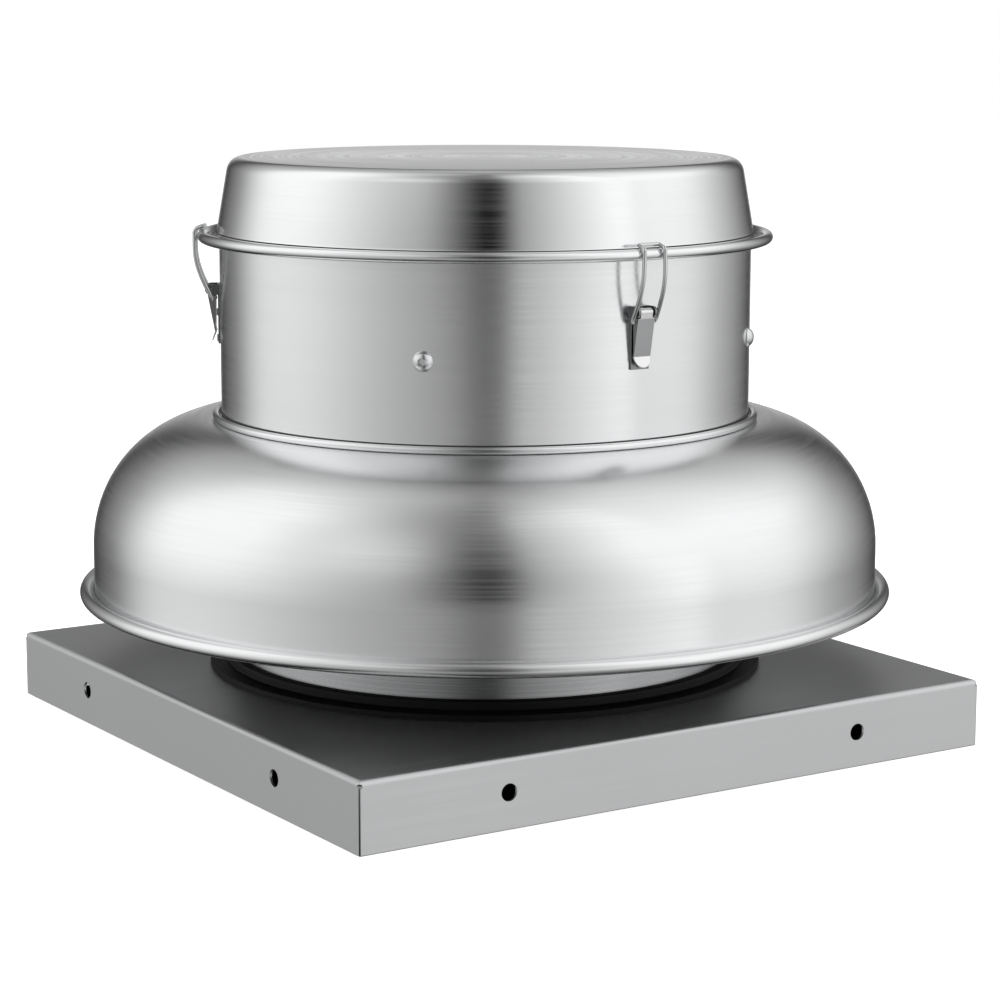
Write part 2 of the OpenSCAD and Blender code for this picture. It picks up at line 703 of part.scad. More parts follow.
// Lower end bell with the flange that the motor stands on
module motor_flange_bell() {
    color([0.45, 0.46, 0.48]) difference() {
        union() {
            translate([0, 0, plate_top_z]) cylinder(r = flange_r, h = flange_t);
            translate([0, 0, plate_top_z]) cylinder(r = frame_r - 2, h = flange_t + bell_h);
        }
        translate([0, 0, plate_top_z - cut]) cylinder(r = shaft_r + 2, h = flange_t + bell_h + 2 * cut);
        translate([0, 0, low_bearing_z]) cylinder(r = bearing_r + fix_gap, h = bearing_w + 2 * cut);
        around(quarter, flange_bolt_x()) translate([0, 0, plate_top_z - cut])
            cylinder(r = post_bolt_r + bolt_gap, h = flange_t + 2 * cut, $fn = 32);
        around(quarter, flange_bolt_x()) translate([0, 0, plate_top_z + flange_t])
            cylinder(r = hex_r(post_bolt_r) + 0.5, h = bell_h + cut, $fn = 32);
    }
}

// Finned tube round the stator
module motor_frame() {
    color([0.42, 0.43, 0.45]) translate([0, 0, frame_z]) linear_extrude(frame_h) difference() {
        union() {
            circle(r = frame_r);
            for (i = [0:fins_n - 1]) rotate(i * 360 / fins_n)
                translate([0, -fin_t / 2]) square([frame_r + fin_h, fin_t]);
        }
        circle(r = frame_r - frame_wall);
    }
}

// Upper end bell, a shallow cap with the upper bearing's seat
module motor_cover_bell() {
    color([0.45, 0.46, 0.48]) difference() {
        union() {
            translate([0, 0, cover_z]) cylinder(r = frame_r - 1, h = cover_h - cover_step);
            translate([0, 0, cover_z]) cylinder(r = bearing_r + boss_wall, h = cover_h);
        }
        translate([0, 0, cover_z - cut]) cylinder(r = bearing_r + fix_gap, h = bearing_w + 1 + cut);
        translate([0, 0, cover_z]) cylinder(r = shaft_r + 2, h = cover_h - 2);
    }
}

// Ball bearings, each a grooved ring round the shaft
module motor_bearings() {
    groove = 1;
    color([0.80, 0.81, 0.82]) for (z = [low_bearing_z, high_bearing_z]) translate([0, 0, z]) rotate_extrude()
        difference() {
            translate([shaft_r + run_gap, 0]) square([bearing_r - shaft_r - run_gap, bearing_w]);
            for (s = [-cut, bearing_w - groove]) translate([shaft_r + 4, s])
                square([bearing_r - shaft_r - 8, groove + cut]);
        }
}

// Stator stack inside the frame
module stator_core() {
    color([0.35, 0.35, 0.37])
        ring(frame_r - frame_wall - fix_gap, rotor_r + air_gap, stack_z, stack_h);
}

// Copper winding heads above and below the stator stack
module stator_windings() {
    head_h = (frame_h - stack_h) / 2 - 2;
    color([0.72, 0.42, 0.22]) for (z = [stack_z - head_h, stack_z + stack_h])
        ring(frame_r - frame_wall - 4, rotor_r + 4, z, head_h);
}

// Bolts that hold the motor's flange on the carrier plate
module flange_bolts() {
    color([0.72, 0.72, 0.74]) around(quarter, flange_bolt_x())
        bolt(post_bolt_r, flange_t + plate_t + 4, plate_top_z + flange_t);
}

// Open sheet steel box for the motor's terminals
module terminal_box() {
    color([0.55, 0.56, 0.57]) difference() {
        translate([-box_w / 2, box_y, plate_top_z]) cube([box_w, box_d, box_h]);
        translate([-box_w / 2 + box_wall, box_y + box_wall, plate_top_z + box_wall])
            cube([box_w - 2 * box_wall, box_d - 2 * box_wall, box_h]);
        gland_place() cylinder(r = gland_r - 2 + fix_gap, h = 4 * box_wall, center = true, $fn = 48);
    }
}

// Centre of the gland's hole in the side of the terminal box, with Z pointing out
module gland_place() {
    translate([box_w / 2, box_y + box_d / 2, plate_top_z + box_h / 2]) rotate([0, 90, 0]) children();
}

// Cover of the terminal box, with a turned down rim
module terminal_cover() {
    rim = 5;
    t = 1.2;
    color([0.58, 0.59, 0.60]) difference() {
        translate([-box_w / 2 - t - weld_gap, box_y - t - weld_gap, plate_top_z + box_h - rim])
            cube([box_w + 2 * (t + weld_gap), box_d + 2 * (t + weld_gap), rim + t]);
        translate([-box_w / 2 - weld_gap, box_y - weld_gap, plate_top_z + box_h - rim - cut])
            cube([box_w + 2 * weld_gap, box_d + 2 * weld_gap, rim + cut]);
    }
}

// Screwed gland through which the wires enter the terminal box
module cable_gland() {
    gland_l = box_wall + gland_stub + gland_head + gland_cap;
    color([0.10, 0.10, 0.10]) gland_place() difference() {
        union() {
            translate([0, 0, weld_gap]) cylinder(r = gland_r, h = gland_head, $fn = 6);
            translate([0, 0, -box_wall - gland_stub]) cylinder(r = gland_r - 2, h = gland_l, $fn = 48);
        }
        translate([0, 0, -box_wall - gland_stub - cut])
            cylinder(r = gland_r - 5, h = gland_l + 2 * cut, $fn = 32);
    }
}

// Run capacitor with a crimped top rim and two spade terminals
module capacitor() {
    color([0.74, 0.75, 0.76]) translate([0, capacitor_y, plate_top_z]) {
        cylinder(r = capacitor_r, h = capacitor_h, $fn = 64);
        translate([0, 0, capacitor_h - 2]) cylinder(r = capacitor_r + 1, h = 3, $fn = 64);
        for (s = [-1, 1]) translate([s * (tab_w + 1) - tab_w / 2, -0.5, capacitor_h])
            cube([tab_w, 1, tab_h]);
    }
}

// Strap that holds the capacitor on the carrier plate
module capacitor_clip() {
    color([0.66, 0.67, 0.68]) difference() {
        union() {
            translate([0, capacitor_y, plate_top_z])
                cylinder(r = capacitor_r + weld_gap + clip_t, h = clip_h, $fn = 64);
            for (s = [-1, 1])
                translate([s * (capacitor_r + clip_foot / 2), capacitor_y, plate_top_z + clip_t / 2])
                    cube([clip_foot, clip_w, clip_t], center = true);
        }
        translate([0, capacitor_y, plate_top_z - cut])
            cylinder(r = capacitor_r + weld_gap, h = clip_h + 2 * cut, $fn = 64);
    }
}

// Spun drum round the motor, with a rolled ridge at its foot
module motor_drum() {
    ridge_x = drum_r + ridge_groove + ridge_r;
    color([0.76, 0.77, 0.78]) difference() {
        rotate_extrude() {
            translate([drum_r - drum_t, bowl_top_z]) square([drum_t, drum_h]);
            translate([drum_r - drum_t, bowl_top_z]) square([ridge_x - drum_r + drum_t, drum_t]);
            translate([ridge_x, bowl_top_z + ridge_r]) circle(r = ridge_r, $fn = 32);
        }
        around(upright_angles(), 0) drum_screw_hole(drum_r);
        around(latch_angles, 0) rivet_holes();
    }
}

// Radial hole for a drum screw, through drum and upright
module drum_screw_hole(x) {
    translate([x - wall_cut / 2, 0, bowl_top_z + drum_screw_h]) rotate([0, 90, 0])
        cylinder(r = drum_screw_r + bolt_gap, h = wall_cut, $fn = 32);
}

// Angle irons inside the drum: foot on the bowl's flat top, upright leg against the drum
module drum_uprights() {
    color([0.62, 0.63, 0.64]) around(upright_angles(), 0) difference() {
        union() {
            translate([upright_x, -upright_w / 2, bowl_top_z]) cube([upright_t, upright_w, upright_h]);
            translate([upright_x - upright_foot, -upright_w / 2, bowl_top_z])
                cube([upright_foot + upright_t, upright_w, upright_t]);
        }
        drum_screw_hole(drum_r);
        translate([upright_screw_x, 0, bowl_top_z - cut])
            cylinder(r = upright_screw_r + bolt_gap, h = upright_t + 2 * cut, $fn = 32);
    }
}

// Screws through the feet of the angle irons into the bowl and the deck
module upright_screws() {
    color([0.72, 0.72, 0.74]) around(upright_angles(), upright_screw_x)
        bolt(upright_screw_r, upright_t + bowl_t + deck_t + 3, bowl_top_z + upright_t);
}

// Domed screws with a hexagon socket round the outside of the drum
module drum_screws() {
    ball_r = (pow(drum_head_r, 2) + pow(drum_head_h, 2)) / (2 * drum_head_h);
    shank_l = drum_t + upright_t + nut_h(drum_screw_r) + 2;
    color([0.82, 0.83, 0.84]) around(upright_angles(), drum_r + weld_gap)
        translate([0, 0, bowl_top_z + drum_screw_h]) rotate([0, 90, 0]) difference() {
            union() {
                intersection() {
                    translate([0, 0, drum_head_h - ball_r]) sphere(r = ball_r, $fn = 48);
                    cylinder(r = drum_head_r + cut, h = drum_head_h + cut, $fn = 48);
                }
                translate([0, 0, -shank_l]) cylinder(r = drum_screw_r, h = shank_l + cut, $fn = 32);
            }
            translate([0, 0, drum_head_h - 2.2]) cylinder(r = drum_screw_r * 0.77, h = 3, $fn = 6);
        }
}

// Nuts on those screws, inside the angle irons
module drum_nuts() {
    h = nut_h(drum_screw_r);
    color([0.75, 0.75, 0.77]) around(upright_angles(), upright_x - h - weld_gap)
        translate([0, 0, bowl_top_z + drum_screw_h]) rotate([0, 90, 0]) nut(drum_screw_r, 0);
}

// Rubber trim pushed on the top edge of the drum, on which the lid rests
module edge_trim() {
    inner_r = drum_r - drum_t - trim_wall;
    color([0.09, 0.09, 0.09]) rotate_extrude() difference() {
        translate([inner_r, trim_z - trim_h]) square([trim_r - inner_r, trim_h]);
        translate([drum_r - drum_t - weld_gap, trim_z - trim_h - cut])
            square([drum_t + 2 * weld_gap, trim_h - trim_top + weld_gap + cut]);
    }
}

// Two rivet holes behind each latch
module rivet_holes() {
    for (z = [rivet_high_z, rivet_low_z]) translate([drum_r - wall_cut / 2, 0, z]) rotate([0, 90, 0])
        cylinder(r = latch_rivet_r + fix_gap, h = wall_cut, $fn = 24);
}

// Latch brackets: a plate on the drum with two ears that hold the lever's pin
module latch_brackets() {
    half_w = ear_y + latch_t;
    color([0.70, 0.71, 0.72]) around(latch_angles, 0) difference() {
        union() {
            intersection() {
                ring(drum_r + weld_gap + latch_t, drum_r + weld_gap, bracket_foot_z,
                    pivot_z + ear_r - bracket_foot_z);
                translate([drum_r - wall_cut / 2, -half_w, bracket_foot_z])
                    cube([wall_cut, 2 * half_w, drum_h]);
            }
            for (s = [-1, 1]) translate([0, s * (ear_y + latch_t / 2), 0]) upright_plate(latch_t) {
                translate([drum_r + latch_t / 2, pivot_z - ear_r])
                    square([latch_reach - latch_t / 2, 2 * ear_r]);
                translate([pivot_x, pivot_z]) circle(r = ear_r, $fn = 32);
            }
        }
        translate([pivot_x, 0, pivot_z]) rotate([90, 0, 0])
            cylinder(r = latch_pin_r + fix_gap, h = 4 * ear_y, center = true, $fn = 32);
        rivet_holes();
    }
}

// A flat outline in the latch's plane, made into a plate of thickness t across it
module upright_plate(t) {
    rotate([90, 0, 0]) linear_extrude(t, center = true) children();
}

// Rivets that hold the brackets on the drum
module latch_rivets() {
    color([0.72, 0.73, 0.74]) around(latch_angles, 0) for (z = [rivet_high_z, rivet_low_z])
        translate([drum_r, 0, z]) rotate([0, 90, 0]) {
            translate([0, 0, -drum_t - weld_gap - latch_rivet_h])
                cylinder(r = latch_rivet_r * 1.5, h = latch_rivet_h, $fn = 32);
            translate([0, 0, -drum_t - latch_rivet_h])
                cylinder(r = latch_rivet_r, h = drum_t + latch_t + 1.5 * latch_rivet_h, $fn = 24);
            translate([0, 0, latch_t + weld_gap])
                cylinder(r = latch_rivet_r * 1.5, h = latch_rivet_h, $fn = 32);
        }
}

// Pins on which the levers turn
module latch_pins() {
    color([0.78, 0.79, 0.80]) around(latch_angles, pivot_x) translate([0, 0, pivot_z]) rotate([90, 0, 0])
        cylinder(r = latch_pin_r, h = 2 * (ear_y + latch_t + pin_end), center = true, $fn = 32);
}

// Outline of the lever seen from the side: a flat that leans inward, then a lip
module lever_side() {
    polygon([[pivot_x + knuckle_r, pivot_z], [bend_x, bend_z], [lip_x, lip_z],
        [lip_x - latch_t, lip_z + latch_t / 3], [bend_x - latch_t, bend_z],
        [pivot_x + knuckle_r - latch_t, pivot_z]]);
}

// Outline of the lever seen from the front: narrow at the curl, round at the lip
module lever_front_view() {
    shoulder_z = pivot_z - ear_r - side_gap;
    translate([-knuckle_w / 2, shoulder_z - cut]) square([knuckle_w, pivot_z - shoulder_z + 2 * cut]);
    translate([-lever_w / 2, lip_z + lever_w / 2]) square([lever_w, shoulder_z - lip_z - lever_w / 2]);
    translate([0, lip_z + lever_w / 2]) circle(r = lever_w / 2, $fn = 48);
}

// Lever of one latch, a channel with a curl round the pin and holes for the bail's feet
module lever() {
    cheek_y = lever_w / 2 - latch_t / 2;
    boss_r = wire_r + latch_t;
    flat_x = (knuckle_r + pivot_x - bend_x) * (foot_z + boss_r - bend_z) / lever_l + bend_x;
    color([0.72, 0.73, 0.74]) difference() {
        union() {
            intersection() {
                upright_plate(lever_w) lever_side();
                rotate([90, 0, 90]) linear_extrude(pivot_x + lever_w) lever_front_view();
            }
            upright_plate(knuckle_w) translate([pivot_x, pivot_z]) circle(r = knuckle_r, $fn = 32);
            for (s = [-1, 1]) translate([0, s * cheek_y, 0]) upright_plate(latch_t) {
                translate([foot_x, foot_z]) circle(r = boss_r, $fn = 32);
                polygon([[foot_x, foot_z + boss_r], [flat_x - latch_t / 2, foot_z + boss_r],
                    [bend_x - latch_t / 2, bend_z + 2.5 * latch_t],
                    [foot_x - boss_r * 0.8, foot_z - boss_r * 0.6]]);
            }
        }
        translate([pivot_x, 0, pivot_z]) rotate([90, 0, 0])
            cylinder(r = latch_pin_r + run_gap, h = 2 * lever_w, center = true, $fn = 32);
        translate([foot_x, 0, foot_z]) rotate([90, 0, 0])
            cylinder(r = wire_r + run_gap, h = 2 * lever_w, center = true, $fn = 32);
    }
}

// A round rod from point a to point b
module rod(a, b, r) {
    d = b - a;
    l = norm(d);
    translate(a) rotate([0, acos(d[2] / l), atan2(d[1], d[0])]) cylinder(r = r, h = l, $fn = 24);
}

// Middle line of one side of the bail: a bowed wire from the foot up past the bead
function bail_line() =
    let (rise = bar_z - foot_z, out = bow_x - foot_x)
    [for (i = [0:6]) let (s = i / 6) [foot_x + out * sin(90 * min(1, s * 1.35)),
        bail_foot_y + (bail_top_y - bail_foot_y) * s, foot_z + (rise - 2) * s]];

// Wire bail of one latch: two feet, two bowed wires, and a crossbar over the lid's bead
module bail() {
    side = bail_line();
    top = side[len(side) - 1];
    corner = [bar_x, top[1], bar_z];
    line = concat([[foot_x, lever_w / 2 - latch_t - side_gap, foot_z]], side, [corner]);
    color([0.80, 0.81, 0.82]) {
        for (m = [0, 1]) mirror([0, m, 0]) {
            for (i = [0:len(line) - 2]) rod(line[i], line[i + 1], wire_r);
            for (i = [1:len(line) - 1]) translate(line[i]) sphere(r = wire_r + fix_gap, $fn = 24);
        }
        rod([corner[0], -corner[1], corner[2]], corner, wire_r);
    }
}

// Motor shaft, with a tapped lower end for the wheel's bolt
module motor_shaft() {
    color([0.76, 0.77, 0.78]) difference() {
        translate([0, 0, hub_z + 2]) cylinder(r = shaft_r, h = motor_top_z - 3 - hub_z - 2, $fn = 64);
        translate([0, 0, hub_z]) cylinder(r = post_bolt_r + fix_gap, h = shaft_tap, $fn = 32);
    }
}

// Rotor core pressed on the shaft
module rotor_core() {
    color([0.50, 0.51, 0.53]) ring(rotor_r, shaft_r + fix_gap, stack_z, stack_h);
}

// Hub with a flange under the back plate
module wheel_hub() {
    color([0.62, 0.63, 0.65]) difference() {
        union() {
            translate([0, 0, hub_flange_z]) cylinder(r = hub_flange_r, h = hub_flange_t);
            translate([0, 0, hub_z]) cylinder(r = hub_r, h = hub_l + cut);
        }
        translate([0, 0, hub_z - cut])
            cylinder(r = shaft_r + fix_gap, h = hub_l + hub_flange_t + 2 * cut, $fn = 64);
        around(hub_rivet_angles(), hub_rivet_x()) translate([0, 0, hub_flange_z - cut])
            cylinder(r = hub_rivet_r + fix_gap, h = hub_flange_t + 2 * cut, $fn = 24);
    }
}

function hub_rivet_angles() = [0, 60, 120, 180, 240, 300];
function hub_rivet_x() = (hub_flange_r + hub_r) / 2;
hub_rivet_r = 2;
rivet_head_h = 1.2;

// Flat back plate of the wheel
module wheel_back_plate() {
    color([0.70, 0.71, 0.72]) difference() {
        ring(wheel_r, shaft_r + 1, back_z, back_t);
        around(hub_rivet_angles(), hub_rivet_x()) translate([0, 0, back_z - cut])
            cylinder(r = hub_rivet_r + fix_gap, h = back_t + 2 * cut, $fn = 24);
    }
}

// Line of the shroud's sheet, moved by d toward the blades
function shroud_line(d) =
    let (x = eye_r + shroud_t + shroud_curve_r, r = shroud_curve_r + shroud_t - d, a = 90 + shroud_slope,
        end = [x + r * cos(a), curve_z + r * sin(a)], slope = tan(shroud_slope))
    concat([[x - r, eye_z]], arc(x, curve_z, r, 180, a),
        [[wheel_r, end[1] + (wheel_r - end[0]) * slope]]);

// Dished shroud with the eye ring, on the inlet side of the wheel
module wheel_shroud() {
    color([0.70, 0.71, 0.72]) spun(shroud_line(0), shroud_line(shroud_t));
}

// Backward curved blades between shroud and back plate, each a bent plate
module wheel_blades() {
    tip_r = wheel_r - 1;
    c_in = cos(blade_in_angle);
    c_out = cos(blade_out_angle);
    bend_r = (pow(tip_r, 2) - pow(blade_in_r, 2)) / (2 * (tip_r * c_out - blade_in_r * c_in));
    centre = sqrt(pow(blade_in_r, 2) + pow(bend_r, 2) - 2 * blade_in_r * bend_r * c_in);
    edge = shroud_line(-weld_gap);
    last = edge[len(edge) - 1];
    top = back_z - weld_gap;
    color([0.74, 0.75, 0.76]) intersection() {
        translate([0, 0, eye_z]) linear_extrude(top - eye_z) for (i = [0:blades_n - 1])
            rotate(i * 360 / blades_n) intersection() {
                difference() {
                    circle(r = tip_r);
                    circle(r = blade_in_r);
                }
                translate([centre, 0]) difference() {
                    circle(r = bend_r + blade_t / 2, $fn = 180);
                    circle(r = bend_r - blade_t / 2, $fn = 180);
                }
                translate([-wheel_r, 0]) square([2 * wheel_r, wheel_r]);
            }
        rotate_extrude() polygon(concat([[0, edge[1][1]]], [for (i = [1:len(edge) - 1]) edge[i]],
            [[last[0], top + cut], [0, top + cut]]));
    }
}

// Rivets through back plate and hub flange
module hub_rivets() {
    l = back_t + hub_flange_t;
    color([0.76, 0.77, 0.78]) around(hub_rivet_angles(), hub_rivet_x()) translate([0, 0, hub_flange_z]) {
        translate([0, 0, -rivet_head_h]) cylinder(r = hub_rivet_r * 1.8, h = rivet_head_h, $fn = 32);
        translate([0, 0, -rivet_head_h / 2]) cylinder(r = hub_rivet_r, h = l + rivet_head_h, $fn = 24);
        translate([0, 0, l]) cylinder(r = hub_rivet_r * 1.8, h = rivet_head_h, $fn = 32);
    }
}

// Bolt and washer that hold the wheel on the shaft's lower end
module shaft_bolt() {
    washer_t = 2;
    color([0.72, 0.72, 0.74]) {
        translate([0, 0, hub_z - washer_t]) cylinder(r = shaft_r + 5, h = washer_t, $fn = 48);
        translate([0, 0, hub_z - washer_t]) mirror([0, 0, 1]) bolt(post_bolt_r, shaft_tap - washer_t, 0);
    }
}

// Spun lid with a drafted wall, a rounded shoulder and a rolled bead
module lid() {
    wall_h = lid_h - lid_corner_r * (1 - sin(lid_draft));
    corner_x = lid_r - tan(lid_draft) * wall_h - lid_corner_r * cos(lid_draft);
    corner_z = lid_top_z - lid_corner_r;
    outer = concat([[lid_bead_x, lid_foot_z - lid_flare_r]], arc(flare_r, lid_foot_z, lid_flare_r, 270, 182),
        arc(corner_x, corner_z, lid_corner_r, lid_draft, 90), [[0, lid_top_z]]);
    inner = concat([[lid_bead_x, lid_foot_z - lid_flare_r - lid_t]],
        arc(flare_r, lid_foot_z, lid_flare_r + lid_t, 270, 182),
        arc(corner_x, corner_z, lid_corner_r - lid_t, lid_draft, 90), [[0, lid_top_z - lid_t]]);
    color([0.78, 0.79, 0.80]) rotate_extrude() {
        polygon(concat(outer, reversed(inner)));
        translate([lid_bead_x, lid_bead_z]) circle(r = lid_bead_r, $fn = 32);
    }
}

curb_cap();
curb_seal();
base_ring();
inlet_drum();
inlet_nozzle();
nozzle_rivets();
support_posts();
post_bolts();
clamp_nuts();
wiring_tube();
bowl();
motor_deck();
rubber_mounts();
mount_bolts();
mount_nuts();
motor_plate();
shaft_seal();
motor_flange_bell();
motor_frame();
motor_cover_bell();
motor_bearings();
stator_core();
stator_windings();
flange_bolts();
terminal_box();
terminal_cover();
cable_gland();
capacitor();
capacitor_clip();
motor_drum();
drum_uprights();
upright_screws();
drum_screws();
drum_nuts();
edge_trim();
latch_brackets();
latch_rivets();
latch_pins();
motor_shaft();
rotor_core();
wheel_hub();
wheel_back_plate();
wheel_blades();
wheel_shroud();
hub_rivets();
shaft_bolt();
lid();
rotate([0, 0, latch_angles[0]]) lever();  // lever_front
rotate([0, 0, latch_angles[1]]) lever();  // lever_right
rotate([0, 0, latch_angles[2]]) lever();  // lever_left
rotate([0, 0, latch_angles[0]]) bail();  // bail_front
rotate([0, 0, latch_angles[1]]) bail();  // bail_right
rotate([0, 0, latch_angles[2]]) bail();  // bail_left
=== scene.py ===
import math
import bmesh
import bpy
from mathutils import Matrix, Vector


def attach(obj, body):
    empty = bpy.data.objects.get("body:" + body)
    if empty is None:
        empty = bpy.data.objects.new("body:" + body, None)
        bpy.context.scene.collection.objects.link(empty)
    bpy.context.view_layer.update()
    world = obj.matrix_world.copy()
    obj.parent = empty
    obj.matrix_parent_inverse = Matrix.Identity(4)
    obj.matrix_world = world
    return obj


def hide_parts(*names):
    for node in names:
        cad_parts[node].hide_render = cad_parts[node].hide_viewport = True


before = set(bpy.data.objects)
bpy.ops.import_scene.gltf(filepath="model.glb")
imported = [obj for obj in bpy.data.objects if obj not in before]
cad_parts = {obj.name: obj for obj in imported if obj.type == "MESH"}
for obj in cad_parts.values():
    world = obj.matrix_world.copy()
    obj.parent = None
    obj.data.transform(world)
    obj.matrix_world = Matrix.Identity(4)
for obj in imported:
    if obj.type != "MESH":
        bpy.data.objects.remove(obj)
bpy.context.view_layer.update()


# Camera: a long lens that looks down a little on the corner of the cap, with one latch on the
# right and one seen from its side on the left.
eye_distance, eye_height, eye_azimuth = 1.738944, 0.438727, math.radians(-32.549)
pan, tilt, roll = math.radians(-32.856), math.radians(80.224), math.radians(0.107)
lens = bpy.data.cameras.new("camera")
lens.sensor_width = 36
lens.lens = 102.247
camera = bpy.data.objects.new("camera", lens)
bpy.context.collection.objects.link(camera)
eye = Vector((eye_distance * math.sin(eye_azimuth), -eye_distance * math.cos(eye_azimuth),
              eye_height))
camera.matrix_world = (Matrix.Translation(eye) @ Matrix.Rotation(pan, 4, 'Z')
                       @ Matrix.Rotation(tilt, 4, 'X') @ Matrix.Rotation(roll, 4, 'Z'))
bpy.context.scene.camera = camera
bpy.context.scene.view_settings.view_transform = 'Standard'


# Studio: large soft boxes all round with a dark gap between them on the camera's side, a narrow
# pale sheet behind, and a dim ceiling. The camera sees plain white, on the floor too.
def add_node(tree, kind, x, y, **sockets):
    made = tree.nodes.new(kind)
    made.location = (x, y)
    for key, value in sockets.items():
        made.inputs[key].default_value = value
    return made


def math_node(tree, operation, x, y, *values):
    made = tree.nodes.new('ShaderNodeMath')
    made.operation = operation
    made.location = (x, y)
    for place, value in enumerate(values):
        if isinstance(value, (int, float)):
            made.inputs[place].default_value = value
        else:
            tree.links.new(value, made.inputs[place])
    return made.outputs[0]


def range_node(tree, value, low, high, x, y, to_low=0.0, to_high=1.0, ease='LINEAR'):
    made = add_node(tree, 'ShaderNodeMapRange', x, y)
    made.interpolation_type = ease
    for key, number in (('From Min', low), ('From Max', high),
                        ('To Min', to_low), ('To Max', to_high)):
        made.inputs[key].default_value = number
    tree.links.new(value, made.inputs['Value'])
    return made.outputs[0]


# Each soft box: its middle in degrees round the object (0 is the camera's side, minus is left),
# half its width, its soft border, its light, then the heights between which it fades in and
# out. The last one is the ceiling.
soft_boxes = (
    (-95, 0, 81, 0.82, -0.82, 0.50, 0.75, 1.15),
    (-68, 38, 32, 0.40, -0.90, -0.32, 0.33, 1.50),
    (-33, 3, 28, 1.16, 0.17, 1.20, 0.40, 0.90),
    (38, 21, 12, 0.26, -0.70, -0.23, 0.93, 1.03),
    (60, 27, 34, 0.30, -1.34, -0.50, -0.40, 0.60),
    (87, 6, 81, 1.10, -1.00, 0.60, 0.17, 1.44),
    (119, 58, 90, 0.36, 0.24, 0.60, 0.93, 1.03),
    (180, 1, 19, 1.12, -0.33, -0.09, -0.20, 0.40),
    (0, 8, 22, 0.19, -0.90, -0.40, -0.15, 0.10),
    (0, 180, 10, 0.12, 0.62, 0.95, 1.10, 1.20))
brightest = 1.1
world = bpy.data.worlds.new("studio")
bpy.context.scene.world = world
world.use_nodes = True
sky = world.node_tree
sky.nodes.clear()
direction = add_node(sky, 'ShaderNodeTexCoord', -1800, 0)
turned = add_node(sky, 'ShaderNodeVectorRotate', -1600, 0, Angle=math.radians(90) - eye_azimuth)
turned.rotation_type = 'Z_AXIS'
sky.links.new(direction.outputs['Generated'], turned.inputs['Vector'])
axes = add_node(sky, 'ShaderNodeSeparateXYZ', -1400, 0)
sky.links.new(turned.outputs[0], axes.inputs[0])
toward, across, upward = axes.outputs
angle = math_node(sky, 'ARCTAN2', -1200, 0, across, toward)
azimuth = math_node(sky, 'MULTIPLY', -1100, 0, angle, math.degrees(1))
studio_light = 0.0
for row, (middle, half, border, strength, low, full_low, full_high, high) in enumerate(soft_boxes):
    y = -400 * row
    beside = math_node(sky, 'WRAP', -900, y,
                       math_node(sky, 'SUBTRACT', -1000, y, azimuth, middle), 180, -180)
    wide = range_node(sky, math_node(sky, 'ABSOLUTE', -800, y, beside), half + border, half,
                      -700, y, ease='SMOOTHSTEP')
    foot = range_node(sky, upward, low, full_low, -700, y - 100, ease='SMOOTHSTEP')
    head = range_node(sky, upward, high, full_high, -700, y - 200, ease='SMOOTHSTEP')
    panel = math_node(sky, 'MULTIPLY', -400, y,
                      math_node(sky, 'MULTIPLY', -500, y, wide, foot), head)
    studio_light = math_node(sky, 'MULTIPLY_ADD', -300, y, panel, strength, studio_light)
studio_light = math_node(sky, 'MINIMUM', -100, 0, studio_light, brightest)
rays = add_node(sky, 'ShaderNodeLightPath', 0, 400)
soft = add_node(sky, 'ShaderNodeBackground', 200, 0)
sky.links.new(studio_light, soft.inputs['Color'])
plain = add_node(sky, 'ShaderNodeBackground', 200, 200, Color=(1, 1, 1, 1), Strength=1.0)
choose = add_node(sky, 'ShaderNodeMixShader', 400, 0)
sky.links.new(rays.outputs['Is Camera Ray'], choose.inputs[0])
sky.links.new(soft.outputs[0], choose.inputs[1])
sky.links.new(plain.outputs[0], choose.inputs[2])
result = add_node(sky, 'ShaderNodeOutputWorld', 600, 0)
sky.links.new(choose.outputs[0], result.inputs['Surface'])

# The floor adds white for the camera only, and under the cap it is painted near black: painted
# shade for the dark space inside the cap
floor_half, floor_drop = 6, 0.0004
floor_white, floor_glow = 0.86, 0.56
under_cap_shade, under_cap_half = 0.01, 0.2152
floor_mesh = bpy.data.meshes.new("floor")
floor_mesh.from_pydata([(-floor_half, -floor_half, 0), (floor_half, -floor_half, 0),
                        (floor_half, floor_half, 0), (-floor_half, floor_half, 0)],
                       [], [(0, 1, 2, 3)])
floor = bpy.data.objects.new("floor", floor_mesh)
bpy.context.collection.objects.link(floor)
floor.location.z = -floor_drop
floor.visible_glossy = False
floor_paint = bpy.data.materials.new("floor_paint")
floor_paint.use_nodes = True
tree = floor_paint.node_tree
tree.nodes.clear()
matt = add_node(tree, 'ShaderNodeBsdfDiffuse', 0, 0)
glow = add_node(tree, 'ShaderNodeEmission', 0, -200, Color=(1, 1, 1, 1))
seen = add_node(tree, 'ShaderNodeLightPath', -600, -200)
spot = add_node(tree, 'ShaderNodeTexCoord', -1200, -400)
spot_axes = add_node(tree, 'ShaderNodeSeparateXYZ', -1000, -400)
tree.links.new(spot.outputs['Object'], spot_axes.inputs[0])
outside = math_node(tree, 'MAXIMUM', -600, -400,
                    math_node(tree, 'ABSOLUTE', -800, -300, spot_axes.outputs[0]),
                    math_node(tree, 'ABSOLUTE', -800, -500, spot_axes.outputs[1]))
beyond = math_node(tree, 'GREATER_THAN', -400, -400, outside, under_cap_half)
seen_glow = math_node(tree, 'MULTIPLY', -400, -200, seen.outputs['Is Camera Ray'], floor_glow)
tree.links.new(math_node(tree, 'MULTIPLY', -200, -300, seen_glow, beyond), glow.inputs['Strength'])
tree.links.new(range_node(tree, beyond, 0, 1, -200, 200, under_cap_shade, floor_white),
               matt.inputs['Color'])
both = add_node(tree, 'ShaderNodeAddShader', 200, 0)
tree.links.new(matt.outputs[0], both.inputs[0])
tree.links.new(glow.outputs[0], both.inputs[1])
